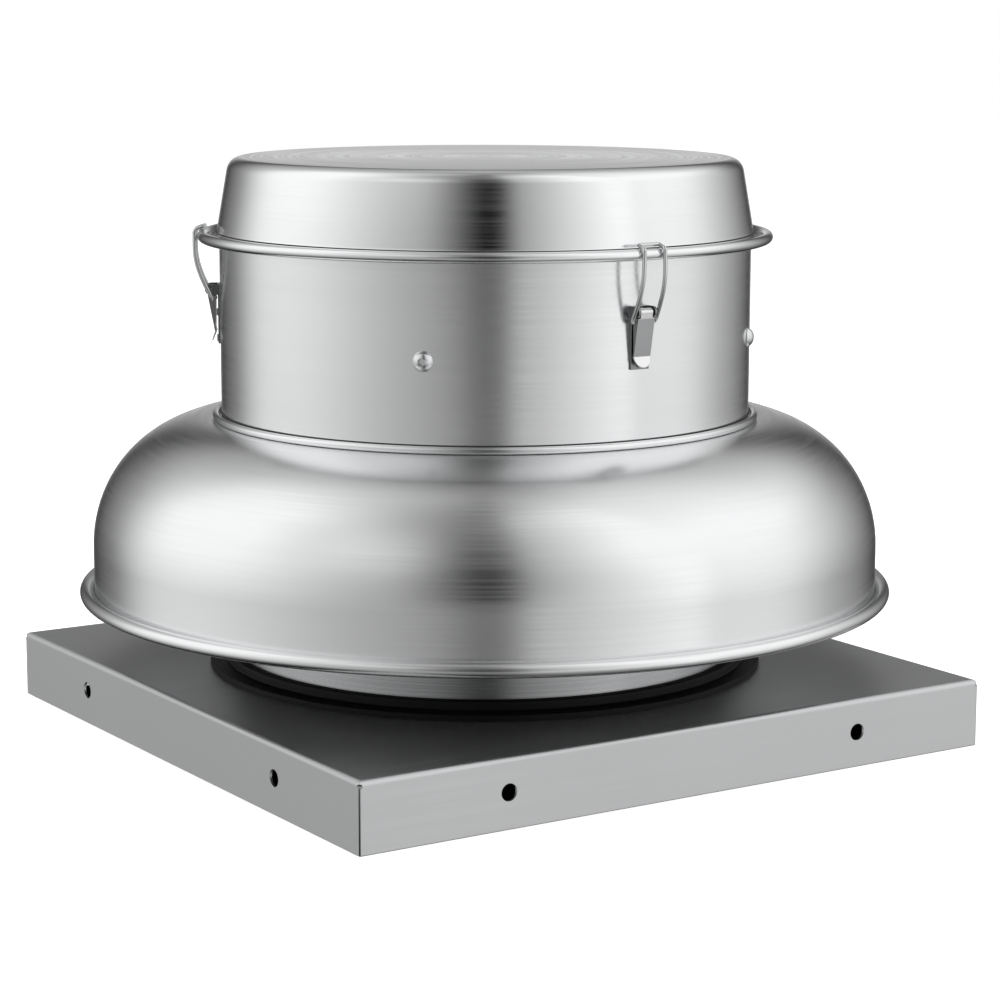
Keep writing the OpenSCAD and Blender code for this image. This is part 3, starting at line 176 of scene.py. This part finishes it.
surface = add_node(tree, 'ShaderNodeOutputMaterial', 400, 0)
tree.links.new(both.outputs[0], surface.inputs['Surface'])
floor_mesh.materials.append(floor_paint)

# Each lamp: its name, its place, its width and its power. All three aim at the middle of the fan
lamps = (("key_lamp", (-1.9, -1.6, 2.4), 2.0, 30),
         ("fill_lamp", (2.2, -0.8, 2.2), 2.0, 24),
         ("top_lamp", (0.0, 0.9, 2.8), 2.4, 24))
lamp_aim = Vector((0, 0, 0.15))
for lamp_name, place, size, power in lamps:
    lamp = bpy.data.lights.new(lamp_name, 'AREA')
    lamp.shape = 'DISK'
    lamp.size = size
    lamp.energy = power
    holder = bpy.data.objects.new(lamp_name, lamp)
    bpy.context.collection.objects.link(holder)
    holder.location = place
    holder.rotation_euler = (lamp_aim - Vector(place)).to_track_quat('-Z', 'Y').to_euler()
    holder.visible_glossy = False


# Curb cap: a square pan folded from aluminium sheet, open at its corners, with two screw holes
# in each side. A strip of black foam is glued under its top, where it lies on the curb.
def new_group(name, label, value):
    group = bpy.data.node_groups.new(name, 'ShaderNodeTree')
    group.interface.new_socket(label, in_out='INPUT',
                               socket_type='NodeSocketFloat').default_value = value
    for output in ("Grain", "Blotch"):
        group.interface.new_socket(output, in_out='OUTPUT', socket_type='NodeSocketFloat')
    return (group, add_node(group, 'NodeGroupInput', -1400, 0),
            add_node(group, 'NodeGroupOutput', 600, 0))


def group_axes(group):
    place = add_node(group, 'ShaderNodeTexCoord', -1400, -300)
    split = add_node(group, 'ShaderNodeSeparateXYZ', -1200, -300)
    group.links.new(place.outputs['Object'], split.inputs[0])
    return split.outputs


def group_noise(group, axes, scales, y, detail=3.0):
    where = add_node(group, 'ShaderNodeCombineXYZ', -300, y)
    for place, (axis, scale) in enumerate(zip(axes, scales)):
        group.links.new(math_node(group, 'MULTIPLY', -500, y - 80 * place, axis, scale),
                        where.inputs[place])
    grain = add_node(group, 'ShaderNodeTexNoise', -100, y, Scale=1.0, Detail=detail, Roughness=0.6)
    group.links.new(where.outputs[0], grain.inputs['Vector'])
    return grain.outputs['Fac']


# Rolled sheet: long marks along X and Y, close together in height, over broad cloudy spots
rolled, rolled_in, rolled_out = new_group("rolled_sheet", "Lines per metre", 1200.0)
sheet_axes = group_axes(rolled)
lines = rolled_in.outputs[0]
few = math_node(rolled, 'MULTIPLY', -900, 100, lines, 0.012)
some = math_node(rolled, 'MULTIPLY', -900, 0, lines, 0.5)
rolled.links.new(group_noise(rolled, sheet_axes, (few, some, lines), 200),
                 rolled_out.inputs['Grain'])
rolled.links.new(group_noise(rolled, sheet_axes, (few, few, few), -200, 2.0),
                 rolled_out.inputs['Blotch'])


def vector_node(tree, operation, x, y, *values):
    made = tree.nodes.new('ShaderNodeVectorMath')
    made.operation = operation
    made.location = (x, y)
    for place, value in enumerate(values):
        if isinstance(value, tuple):
            made.inputs[place].default_value = value
        else:
            tree.links.new(value, made.inputs[place])
    return made


# Soft edges: a normal that rounds sharp edges, and a mask that is 1 on them
edges = bpy.data.node_groups.new("soft_edges", 'ShaderNodeTree')
edges.interface.new_socket("Radius", in_out='INPUT',
                           socket_type='NodeSocketFloat').default_value = 0.0005
edges.interface.new_socket("Normal", in_out='OUTPUT', socket_type='NodeSocketVector')
edges.interface.new_socket("Edge", in_out='OUTPUT', socket_type='NodeSocketFloat')
edges_in = add_node(edges, 'NodeGroupInput', -800, 0)
edges_out = add_node(edges, 'NodeGroupOutput', 400, 0)
bevel = add_node(edges, 'ShaderNodeBevel', -600, 0)
bevel.samples = 4
edges.links.new(edges_in.outputs[0], bevel.inputs['Radius'])
flat = add_node(edges, 'ShaderNodeNewGeometry', -600, -200)
turn = vector_node(edges, 'DOT_PRODUCT', -400, -100, bevel.outputs[0], flat.outputs['Normal'])
edges.links.new(range_node(edges, turn.outputs['Value'], 0.99, 0.80, 0, -100),
                edges_out.inputs['Edge'])
edges.links.new(bevel.outputs[0], edges_out.inputs['Normal'])


def group_node(tree, group, value, x, y):
    made = tree.nodes.new('ShaderNodeGroup')
    made.node_tree = group
    made.location = (x, y)
    made.inputs[0].default_value = value
    return made


# Blends one colour into another. Each is a plain colour, or the output that gives it
def blend_node(tree, factor, one, two, x, y):
    made = tree.nodes.new('ShaderNodeMix')
    made.data_type = 'RGBA'
    made.location = (x, y)
    tree.links.new(factor, made.inputs[0])
    for socket, value in ((made.inputs[6], one), (made.inputs[7], two)):
        if isinstance(value, tuple):
            socket.default_value = (*value, 1)
        else:
            tree.links.new(value, socket)
    return made.outputs[2]


noise_low, noise_high = 0.3, 0.7


def finish(name, colour, shade, rough, metal, group, scale, depth, soften=0.0, bright=0.0):
    made = bpy.data.materials.new(name)
    made.use_nodes = True
    made.diffuse_color = (*colour, 1)
    tree = made.node_tree
    shader = tree.nodes['Principled BSDF']
    shader.inputs['Metallic'].default_value = metal
    marks = group_node(tree, group, scale, -900, 0)
    spots = range_node(tree, marks.outputs['Blotch'], noise_low, noise_high, -700, 200)
    tone = blend_node(tree, spots, shade, colour, -500, 200)
    tree.links.new(range_node(tree, marks.outputs['Grain'], noise_low, noise_high, -500, -100,
                              *rough), shader.inputs['Roughness'])
    bump = add_node(tree, 'ShaderNodeBump', -300, -400, Distance=depth)
    bump.name = "grain_bump"
    tree.links.new(marks.outputs['Grain'], bump.inputs['Height'])
    tree.links.new(bump.outputs[0], shader.inputs['Normal'])
    if soften:
        rim = group_node(tree, edges, soften, -900, -500)
        tree.links.new(rim.outputs['Normal'], bump.inputs['Normal'])
        # The edges are blended toward a lighter tone: edge wear on the motor paint, and painted
        # highlights on the latch steel and the levers
        if bright:
            tone = blend_node(tree, rim.outputs['Edge'], tone, (bright, bright, bright), -300, 300)
    tree.links.new(tone, shader.inputs['Base Color'])
    return made


def paint(material, *nodes):
    for node in nodes:
        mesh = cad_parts[node].data
        mesh.materials.clear()
        mesh.materials.append(material)


cap_metal = finish("cap_aluminium", (0.64, 0.645, 0.65), (0.62, 0.625, 0.63), (0.36, 0.44), 1.0,
                   rolled, 600.0, 0.000008, soften=0.0006)
paint(cap_metal, "curb_cap")

# A thin line of grey sealant closes the slit at each corner of the cap, and leans in at its top
# with the fold. Each row is a height and the line's radius there.
corner_r, fold_z, fold_lean, sides = 0.3041, 0.0367, 0.9, 16
seal_rows = ((0.0003, 0.0), (0.0005, 0.0007), (0.0360, 0.0007), (0.0367, 0.0011),
             (0.0376, 0.00145), (0.0384, 0.0011), (0.0388, 0.0))
sealant = finish("corner_sealant", (0.42, 0.42, 0.43), (0.36, 0.36, 0.37), (0.4, 0.5), 1.0,
                 rolled, 800.0, 0.00001)
for label, turned_by in (("front", -90), ("right", 0), ("back", 90), ("left", 180)):
    bead = bmesh.new()
    rows = [[bead.verts.new((corner_r - fold_lean * max(0, z - fold_z)
                             + r * math.cos(2 * math.pi * k / sides),
                             r * math.sin(2 * math.pi * k / sides), z)) for k in range(sides)]
            for z, r in seal_rows]
    for one, two in zip(rows, rows[1:]):
        for k in range(sides):
            bead.faces.new((one[k], one[(k + 1) % sides], two[(k + 1) % sides], two[k]))
    bmesh.ops.remove_doubles(bead, verts=bead.verts, dist=0.00001)
    bmesh.ops.rotate(bead, verts=bead.verts,
                     matrix=Matrix.Rotation(math.radians(turned_by + 45), 3, 'Z'))
    for face in bead.faces:
        face.smooth = True
    line_mesh = bpy.data.meshes.new("corner_seal_" + label)
    bead.to_mesh(line_mesh)
    bead.free()
    line = bpy.data.objects.new("corner_seal_" + label, line_mesh)
    bpy.context.collection.objects.link(line)
    line_mesh.materials.append(sealant)
    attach(line, "housing")

# Cast or moulded skin: fine even pits over broad soft spots
skin, skin_in, skin_out = new_group("moulded_skin", "Pits per metre", 900.0)
skin_axes = group_axes(skin)
pits = skin_in.outputs[0]
skin.links.new(group_noise(skin, skin_axes, (pits, pits, pits), 200), skin_out.inputs['Grain'])
wide = math_node(skin, 'MULTIPLY', -900, 0, pits, 0.03)
skin.links.new(group_noise(skin, skin_axes, (wide, wide, wide), -200), skin_out.inputs['Blotch'])
paint(finish("black_foam", (0.018, 0.018, 0.02), (0.010, 0.010, 0.011), (0.85, 0.95), 0.0,
             skin, 700.0, 0.0004), "curb_seal")


# Base ring: a moulded black rubber ring with a flange and a neck, which stands on the cap and
# seals the inlet drum. It is turned here as one smooth ring, from sizes in millimetres.
def arc(x, z, r, start, end, count=12):
    turns = [math.radians(start + (end - start) * i / count) for i in range(count + 1)]
    return [(x + r * math.cos(turn), z + r * math.sin(turn)) for turn in turns]


def finish_mesh(name, shape, material, body, nodes, sharp=35):
    bmesh.ops.recalc_face_normals(shape, faces=shape.faces)
    for face in shape.faces:
        face.smooth = True
    for edge in shape.edges:
        if len(edge.link_faces) == 2 and edge.calc_face_angle(0) > math.radians(sharp):
            edge.smooth = False
    mesh = bpy.data.meshes.new(name)
    shape.to_mesh(mesh)
    shape.free()
    made = bpy.data.objects.new(name, mesh)
    bpy.context.collection.objects.link(made)
    mesh.materials.append(material)
    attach(made, body)
    if nodes:
        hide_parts(*nodes)


def lathe(name, loops, material, body, nodes, around=192):
    shape = bmesh.new()
    circle = [2 * math.pi * k / around for k in range(around)]
    for loop in loops:
        rows = []
        for r, z in loop:
            if r < 1e-6:
                rows.append([shape.verts.new((0, 0, z / 1000))] * around)
            else:
                rows.append([shape.verts.new((r / 1000 * math.cos(turn),
                                              r / 1000 * math.sin(turn), z / 1000))
                             for turn in circle])
        for i in range(len(rows)):
            one, two = rows[i], rows[(i + 1) % len(rows)]
            for k in range(around):
                corners = []
                for corner in (one[k], one[(k + 1) % around], two[(k + 1) % around], two[k]):
                    if corner not in corners:
                        corners.append(corner)
                if len(corners) > 2:
                    shape.faces.new(corners)
    finish_mesh(name, shape, material, body, nodes)


ring_in_r, ring_foot_z, ring_top_z = 154.2, 40.6, 50.0
flange_r, flange_top_z, neck_r = 171.0, 44.5, 161.0
ring_round, ring_fillet = 0.8, 1.2
rubber = finish("black_rubber", (0.010, 0.010, 0.011), (0.006, 0.006, 0.007), (0.42, 0.56), 0.0,
                skin, 900.0, 0.00003)
rubber.node_tree.nodes['Principled BSDF'].inputs['Specular IOR Level'].default_value = 0.2
lathe("moulded_ring", [
    [(ring_in_r, ring_foot_z), (flange_r, ring_foot_z)]
    + arc(flange_r - ring_round, flange_top_z - ring_round, ring_round, 0, 90, 6)
    + arc(neck_r + ring_fillet, flange_top_z + ring_fillet, ring_fillet, 270, 180, 6)
    + arc(neck_r - ring_round, ring_top_z - ring_round, ring_round, 0, 90, 6)
    + [(ring_in_r, ring_top_z)]], rubber, "housing", ["base_ring"])


# Inlet drum: spun from thin sheet with a rounded top, pressed on the ring by nuts on the
# posts. The bell mouth is riveted to its top and leads the air into the wheel.
rings, rings_in, rings_out = new_group("brushed_rings", "Rings per metre", 1500.0)
px, py, pz = group_axes(rings)
radius = math_node(rings, 'SQRT', -900, -300, math_node(
    rings, 'MULTIPLY_ADD', -1000, -300, px, px,
    math_node(rings, 'MULTIPLY', -1100, -400, py, py)))
drift = math_node(rings, 'MULTIPLY_ADD', -1000, -500, px, 9.0,
                  math_node(rings, 'MULTIPLY', -1100, -500, py, 13.0))
close = rings_in.outputs[0]
rings.links.new(group_noise(rings, (radius, pz, drift), (close, close, 1.0), 200, 1.0),
                rings_out.inputs['Grain'])
apart = math_node(rings, 'MULTIPLY', -900, 100, close, 0.06)
rings.links.new(group_noise(rings, (radius, pz, drift), (apart, apart, 0.6), -200, 2.0),
                rings_out.inputs['Blotch'])


# Spun metal shines in streaks across its brushing. A draft leans its shading upward, as the
# slight taper of the real wall does
def spun_metal(name, colour, shade, rough, stretch, lines_per_metre, draft=0.0):
    made = finish(name, colour, shade, rough, 1.0, rings, lines_per_metre, 0.000006)
    tree = made.node_tree
    shader = tree.nodes['Principled BSDF']
    shader.inputs['Anisotropic'].default_value = stretch
    shader.inputs['Anisotropic Rotation'].default_value = 0.25
    circle = add_node(tree, 'ShaderNodeTangent', -300, -600)
    circle.direction_type = 'RADIAL'
    circle.axis = 'Z'
    tree.links.new(circle.outputs[0], shader.inputs['Tangent'])
    if draft:
        wall = add_node(tree, 'ShaderNodeNewGeometry', -900, -700)
        lean = vector_node(tree, 'ADD', -700, -700, wall.outputs['Normal'], (0, 0, draft))
        unit = vector_node(tree, 'NORMALIZE', -500, -700, lean.outputs[0])
        tree.links.new(unit.outputs[0], tree.nodes["grain_bump"].inputs['Normal'])
    return made


inlet_r, inlet_wall, inlet_top_z, inlet_round, inlet_hole_r = 155.5, 1.2, 78.0, 5.0, 116.2
inlet_corner = (inlet_r - inlet_round, inlet_top_z - inlet_round)
inlet_metal = spun_metal("inlet_aluminium", (0.45, 0.455, 0.46), (0.41, 0.415, 0.42),
                         (0.24, 0.32), 0.5, 900.0, draft=0.12)
lathe("spun_inlet", [
    [(inlet_r, ring_top_z)] + arc(*inlet_corner, inlet_round, 0, 90)
    + [(inlet_hole_r, inlet_top_z), (inlet_hole_r, inlet_top_z - inlet_wall)]
    + arc(*inlet_corner, inlet_round - inlet_wall, 90, 0)
    + [(inlet_r - inlet_wall, ring_top_z)]],
    inlet_metal, "housing", ["inlet_drum"])
paint(spun_metal("nozzle_aluminium", (0.70, 0.71, 0.72), (0.62, 0.63, 0.64), (0.24, 0.36),
                 0.6, 900.0), "inlet_nozzle")
bright_rivet = finish("rivet_aluminium", (0.78, 0.785, 0.79), (0.72, 0.725, 0.73), (0.22, 0.30),
                      1.0, skin, 1500.0, 0.00001, soften=0.0003)
paint(bright_rivet, "nozzle_rivets")


# Posts: four round steel bars, zinc plated, tapped at both ends. Bolts hold them between the
# cap and the motor deck, and a thin tube beside them carries the wires.
zinc = finish("zinc_steel", (0.63, 0.635, 0.65), (0.55, 0.56, 0.58), (0.28, 0.40), 1.0,
              skin, 600.0, 0.00002, soften=0.0004)
paint(zinc, "support_posts", "post_bolts", "clamp_nuts", "wiring_tube")


# Bowl: spun from one disc, with a flat top, an elliptical dome, a straight skirt and a bead
# rolled outward round its rim. It turns the air down and is bolted to the deck.
def dome(x, z, rx, rz, count=64):
    turns = [math.radians(90 * i / count) for i in range(count + 1)]
    return [(x + rx * math.cos(turn), z + rz * math.sin(turn)) for turn in turns]


def round_bead(x, z, r, count=32):
    return arc(x, z, r, 0, 360, count)[:-1]


skirt_r, bowl_wall, bowl_top_z, bowl_hole_r = 241.3, 1.5, 193.1, 132
dome_r, dome_z = 168.5, 115.9
flare, flare_z, lip_r = 3, 89.9, 247.4
rim_r, rim_z, rim_thick = 246.0, 88.0, 4.2
satin = spun_metal("spun_aluminium", (0.86, 0.865, 0.87), (0.84, 0.845, 0.85), (0.19, 0.27),
                   0.65, 600.0)
lathe("spun_bowl", [
    [(lip_r, flare_z - flare)] + arc(skirt_r + flare, flare_z, flare, 270, 180)
    + dome(dome_r, dome_z, skirt_r - dome_r, bowl_top_z - dome_z)
    + [(bowl_hole_r, bowl_top_z), (bowl_hole_r, bowl_top_z - bowl_wall)]
    + dome(dome_r, dome_z, skirt_r - bowl_wall - dome_r, bowl_top_z - bowl_wall - dome_z)[::-1]
    + arc(skirt_r + flare, flare_z, flare + bowl_wall, 180, 270)
    + [(lip_r, flare_z - flare - bowl_wall)],
    round_bead(rim_r, rim_z, rim_thick)], satin, "housing", ["bowl"])


# Motor deck: round galvanised plates. The lower one lies on the posts, the upper one stands on
# rubber mounts and carries the motor. A felt washer closes the hole round the shaft.
spangle, spangle_in, spangle_out = new_group("zinc_spangle", "Flakes per metre", 130.0)
flake = add_node(spangle, 'ShaderNodeTexVoronoi', -600, 0)
spangle_place = add_node(spangle, 'ShaderNodeTexCoord', -900, 0)
spangle.links.new(spangle_place.outputs['Object'], flake.inputs['Vector'])
spangle.links.new(spangle_in.outputs[0], flake.inputs['Scale'])
flake_tone = add_node(spangle, 'ShaderNodeSeparateColor', -400, 0)
spangle.links.new(flake.outputs['Color'], flake_tone.inputs[0])
spangle.links.new(flake_tone.outputs[0], spangle_out.inputs['Blotch'])
spangle.links.new(flake.outputs['Distance'], spangle_out.inputs['Grain'])
galvanised = finish("galvanised_sheet", (0.66, 0.67, 0.69), (0.50, 0.51, 0.54), (0.30, 0.46), 1.0,
                    spangle, 130.0, 0.00002, soften=0.0005)
paint(galvanised, "motor_deck", "motor_plate", "capacitor_clip")
paint(rubber, "rubber_mounts")
paint(zinc, "mount_bolts", "mount_nuts")
paint(finish("felt", (0.060, 0.058, 0.052), (0.035, 0.034, 0.031), (0.9, 1.0), 0.0,
             skin, 2600.0, 0.0005), "shaft_seal")


# Motor: cast end bells on both ends of a finned frame, painted dark grey, with the stator's
# stacked steel, copper windings and two ball bearings inside. Bolts hold it on the plate.
motor_paint = finish("motor_paint", (0.075, 0.080, 0.088), (0.055, 0.060, 0.066), (0.38, 0.50),
                     0.0, skin, 500.0, 0.00008, soften=0.0006, bright=0.32)
paint(motor_paint, "motor_flange_bell", "motor_frame", "motor_cover_bell")
stack, stack_in, stack_out = new_group("stacked_sheets", "Sheets per metre", 2000.0)
stack_axes = group_axes(stack)
sheets = stack_in.outputs[0]
stack.links.new(group_noise(stack, stack_axes, (8.0, 8.0, sheets), 200, 1.0),
                stack_out.inputs['Grain'])
stack.links.new(group_noise(stack, stack_axes, (30.0, 30.0, sheets), -200, 1.0),
                stack_out.inputs['Blotch'])
paint(finish("stator_steel", (0.33, 0.33, 0.35), (0.20, 0.20, 0.22), (0.35, 0.5), 1.0,
             stack, 2000.0, 0.0001), "stator_core", "rotor_core")
paint(finish("copper_wire", (0.80, 0.36, 0.16), (0.52, 0.20, 0.08), (0.25, 0.4), 1.0,
             rings, 1100.0, 0.0005), "stator_windings")
paint(finish("bearing_steel", (0.72, 0.73, 0.74), (0.66, 0.67, 0.68), (0.10, 0.16), 1.0,
             rings, 900.0, 0.00001, soften=0.0003), "motor_bearings")
paint(zinc, "flange_bolts")


# Terminal box: a folded steel box with its cover and a plastic cable gland, beside the motor.
# Across from it stands the run capacitor, an aluminium can in a strap.
paint(galvanised, "terminal_box", "terminal_cover")
paint(finish("black_plastic", (0.02, 0.02, 0.02), (0.014, 0.014, 0.014), (0.35, 0.45), 0.0,
             skin, 900.0, 0.00003, soften=0.0004), "cable_gland")
paint(finish("can_aluminium", (0.76, 0.765, 0.77), (0.70, 0.705, 0.71), (0.24, 0.32), 1.0,
             rolled, 1600.0, 0.00002, soften=0.0004), "capacitor")


# Wheel: backward curved blades riveted and welded between a back plate and a dished shroud,
# on a cast hub. A bolt and a washer hold it on the ground steel shaft.
paint(finish("wheel_aluminium", (0.70, 0.705, 0.715), (0.62, 0.625, 0.635), (0.30, 0.40), 1.0,
             rings, 900.0, 0.00003, soften=0.0004), "wheel_back_plate", "wheel_shroud")
paint(finish("blade_aluminium", (0.72, 0.725, 0.735), (0.66, 0.665, 0.675), (0.30, 0.40), 1.0,
             rolled, 900.0, 0.00003, soften=0.0004), "wheel_blades")
paint(finish("hub_casting", (0.56, 0.565, 0.57), (0.46, 0.465, 0.47), (0.42, 0.55), 1.0,
             skin, 500.0, 0.0001, soften=0.0008), "wheel_hub")
paint(finish("ground_steel", (0.68, 0.69, 0.70), (0.60, 0.61, 0.62), (0.14, 0.22), 1.0,
             rings, 2500.0, 0.00001, soften=0.0003), "motor_shaft")
paint(bright_rivet, "hub_rivets")
paint(zinc, "shaft_bolt")


# Motor drum: a rolled tube round the motor with a ridge at its foot. Domed screws hold it on
# angle irons, and a rubber trim on its top edge carries the lid.
drum_r, drum_wall, drum_top_z = 162.1, 1.2, 303.8
ridge_r, ridge_thick = 165.4, 2.2
ridge_z = bowl_top_z + ridge_thick
lathe("spun_drum", [
    [(drum_r, ridge_z), (drum_r, drum_top_z), (drum_r - drum_wall, drum_top_z),
     (drum_r - drum_wall, bowl_top_z), (ridge_r, bowl_top_z), (ridge_r, bowl_top_z + drum_wall),
     (drum_r, bowl_top_z + drum_wall)],
    round_bead(ridge_r, ridge_z, ridge_thick)],
    satin, "housing", ["motor_drum"])
# A thin black ring in the crease above the drum's ridge is painted shade, where the crease lies in
# shade
crease_shade = finish("crease_shade_black", (0.02, 0.02, 0.02), (0.012, 0.012, 0.012), (0.5, 0.6), 0.0,
                skin, 900.0, 0.00001)
lathe("drum_crease_shade", [round_bead(162.45, 197.35, 0.5, 10)], crease_shade, "housing", [])
paint(galvanised, "drum_uprights")
paint(zinc, "upright_screws", "drum_nuts")
paint(finish("screw_steel", (0.74, 0.745, 0.75), (0.68, 0.685, 0.69), (0.14, 0.22), 1.0,
             skin, 2500.0, 0.00001, soften=0.0004), "drum_screws")
paint(rubber, "edge_trim")


# Lid: a spun pan with a drafted wall, a rounded shoulder and a bead rolled round its rim. It
# lies on the trim and lifts straight off once the latches are open.
lid_top_z, lid_wall, lid_round, lid_round_at = 351.454, 1.2, 9, 148.154
lid_flare, lid_flare_at, lid_flare_z = 5.5, 168.7, 308.954
lid_rim_r, lid_rim_z, lid_rim_thick = 172.0, 304.054, 3.25
flare_end, shoulder_start = 182, 10
lid_corner = (lid_round_at, lid_top_z - lid_round)
lid_metal = spun_metal("lid_aluminium", (0.87, 0.875, 0.88), (0.85, 0.855, 0.86), (0.12, 0.20),
                       0.35, 750.0)
lathe("spun_lid", [
    [(lid_rim_r, lid_flare_z - lid_flare)]
    + arc(lid_flare_at, lid_flare_z, lid_flare, 270, flare_end)
    + arc(*lid_corner, lid_round, shoulder_start, 90)
    + [(0, lid_top_z), (0, lid_top_z - lid_wall)]
    + arc(*lid_corner, lid_round - lid_wall, 90, shoulder_start)
    + arc(lid_flare_at, lid_flare_z, lid_flare + lid_wall, flare_end, 270)
    + [(lid_rim_r, lid_flare_z - lid_flare - lid_wall)],
    round_bead(lid_rim_r, lid_rim_z, lid_rim_thick)], lid_metal, "lid", ["lid"])
# A thin black ring in the crease at the lid's flare is painted shade
lathe("lid_crease_shade", [round_bead(163.7, 306.8, 0.4, 10)], crease_shade, "lid", [])


# Latches: a bracket riveted to the drum, a bent lever on a pin, and a wire bail that hooks
# over the lid's bead. All are bright plated steel; the wire is bent here as one smooth rod.
# The brackets, rivets and pins are coloured dark: painted shade for the gap between the lever and
# the drum
paint(finish("latch_steel", (0.28, 0.285, 0.29), (0.24, 0.245, 0.25), (0.16, 0.26), 1.0,
             rolled, 1500.0, 0.00001, soften=0.0004, bright=0.7),
      "latch_brackets", "latch_rivets", "latch_pins")

# The lever's lip and its rolled top are painted lighter than its dull plate: painted highlights,
# placed by height
lip_fade, top_fade, lever_highlight_tone = (0.2460, 0.2454), (0.2672, 0.2680), (0.82, 0.82, 0.82)
lever_metal = finish("lever_steel", (0.48, 0.485, 0.49), (0.43, 0.435, 0.44), (0.18, 0.28), 1.0,
                     rolled, 1500.0, 0.00001, soften=0.0004, bright=0.8)
tree = lever_metal.node_tree
spot = add_node(tree, 'ShaderNodeTexCoord', -1300, 600)
spot_axes = add_node(tree, 'ShaderNodeSeparateXYZ', -1100, 600)
tree.links.new(spot.outputs['Object'], spot_axes.inputs[0])
height = spot_axes.outputs[2]
lever_highlight_mask = math_node(tree, 'ADD', -700, 600, range_node(tree, height, *lip_fade, -900, 600),
                     range_node(tree, height, *top_fade, -900, 400))
base = tree.nodes['Principled BSDF'].inputs['Base Color']
tree.links.new(blend_node(tree, lever_highlight_mask, base.links[0].from_socket, lever_highlight_tone, -100, 500), base)
paint(lever_metal, "lever_front", "lever_right", "lever_left")


def rounded(points, times=3):
    for _ in range(times):
        cut = [points[0]]
        for one, two in zip(points, points[1:]):
            cut += [one.lerp(two, 0.25), one.lerp(two, 0.75)]
        points = cut + [points[-1]]
    return points


# The wire is slim where its feet turn in the lever, and reaches its full radius just above
foot_wire, full_wire, foot_top_z, foot_fade = 0.00105, 0.00125, 0.2656, 0.003


def tube(shape, points, around=16):
    rows = []
    side = Vector((1, 0, 0))
    circle = [2 * math.pi * k / around for k in range(around)]
    for i, point in enumerate(points):
        ahead = (points[min(i + 1, len(points) - 1)] - points[max(i - 1, 0)]).normalized()
        side = (side - ahead * side.dot(ahead)).normalized()
        other = ahead.cross(side)
        grown = min(1, max(0, (point.z - foot_top_z) / foot_fade))
        radius = foot_wire + (full_wire - foot_wire) * grown
        rows.append([shape.verts.new(point + radius * (side * math.cos(turn)
                                                       + other * math.sin(turn)))
                     for turn in circle])
    for one, two in zip(rows, rows[1:]):
        for k in range(around):
            shape.faces.new((one[k], one[(k + 1) % around], two[(k + 1) % around], two[k]))
    shape.faces.new(rows[0][::-1])
    shape.faces.new(rows[-1])


# Half of the bail in millimetres, as it lies in its lever on the drum's +x side: its foot, its
# bowed leg and its hook
foot_x, foot_z, bow_out, bow_up, steps = 166.3, 265.354, 10.4, 42.1, 12
hook_x, hook_z = 170.8, 309.454
bow = [(foot_x + bow_out * math.sin(math.radians(90 * min(1, i / steps * 1.35))),
        8 - i / steps, foot_z + bow_up * i / steps) for i in range(steps + 1)]
half = ([(foot_x, 4.3, foot_z), (foot_x, 6.5, foot_z), (foot_x, 8.0, foot_z)] + bow[1:]
        + [(173.6, 7.0, 308.5), (hook_x, 7.0, hook_z), (hook_x, 5.2, hook_z),
           (hook_x, 0.5, hook_z)])
loop = half + [(x, -y, z) for x, y, z in half[::-1]]
wire_metal = finish("wire_steel", (0.70, 0.705, 0.71), (0.64, 0.645, 0.65), (0.05, 0.10), 1.0,
                    skin, 1500.0, 0.000003)
for label, degrees in (("front", -90), ("right", 30), ("left", 150)):
    wire = bmesh.new()
    tube(wire, rounded([Vector(point) / 1000 for point in loop]))
    bmesh.ops.rotate(wire, verts=wire.verts, matrix=Matrix.Rotation(math.radians(degrees), 3, 'Z'))
    finish_mesh("wire_bail_" + label, wire, wire_metal, "bail_" + label,
                ["bail_" + label], sharp=60)
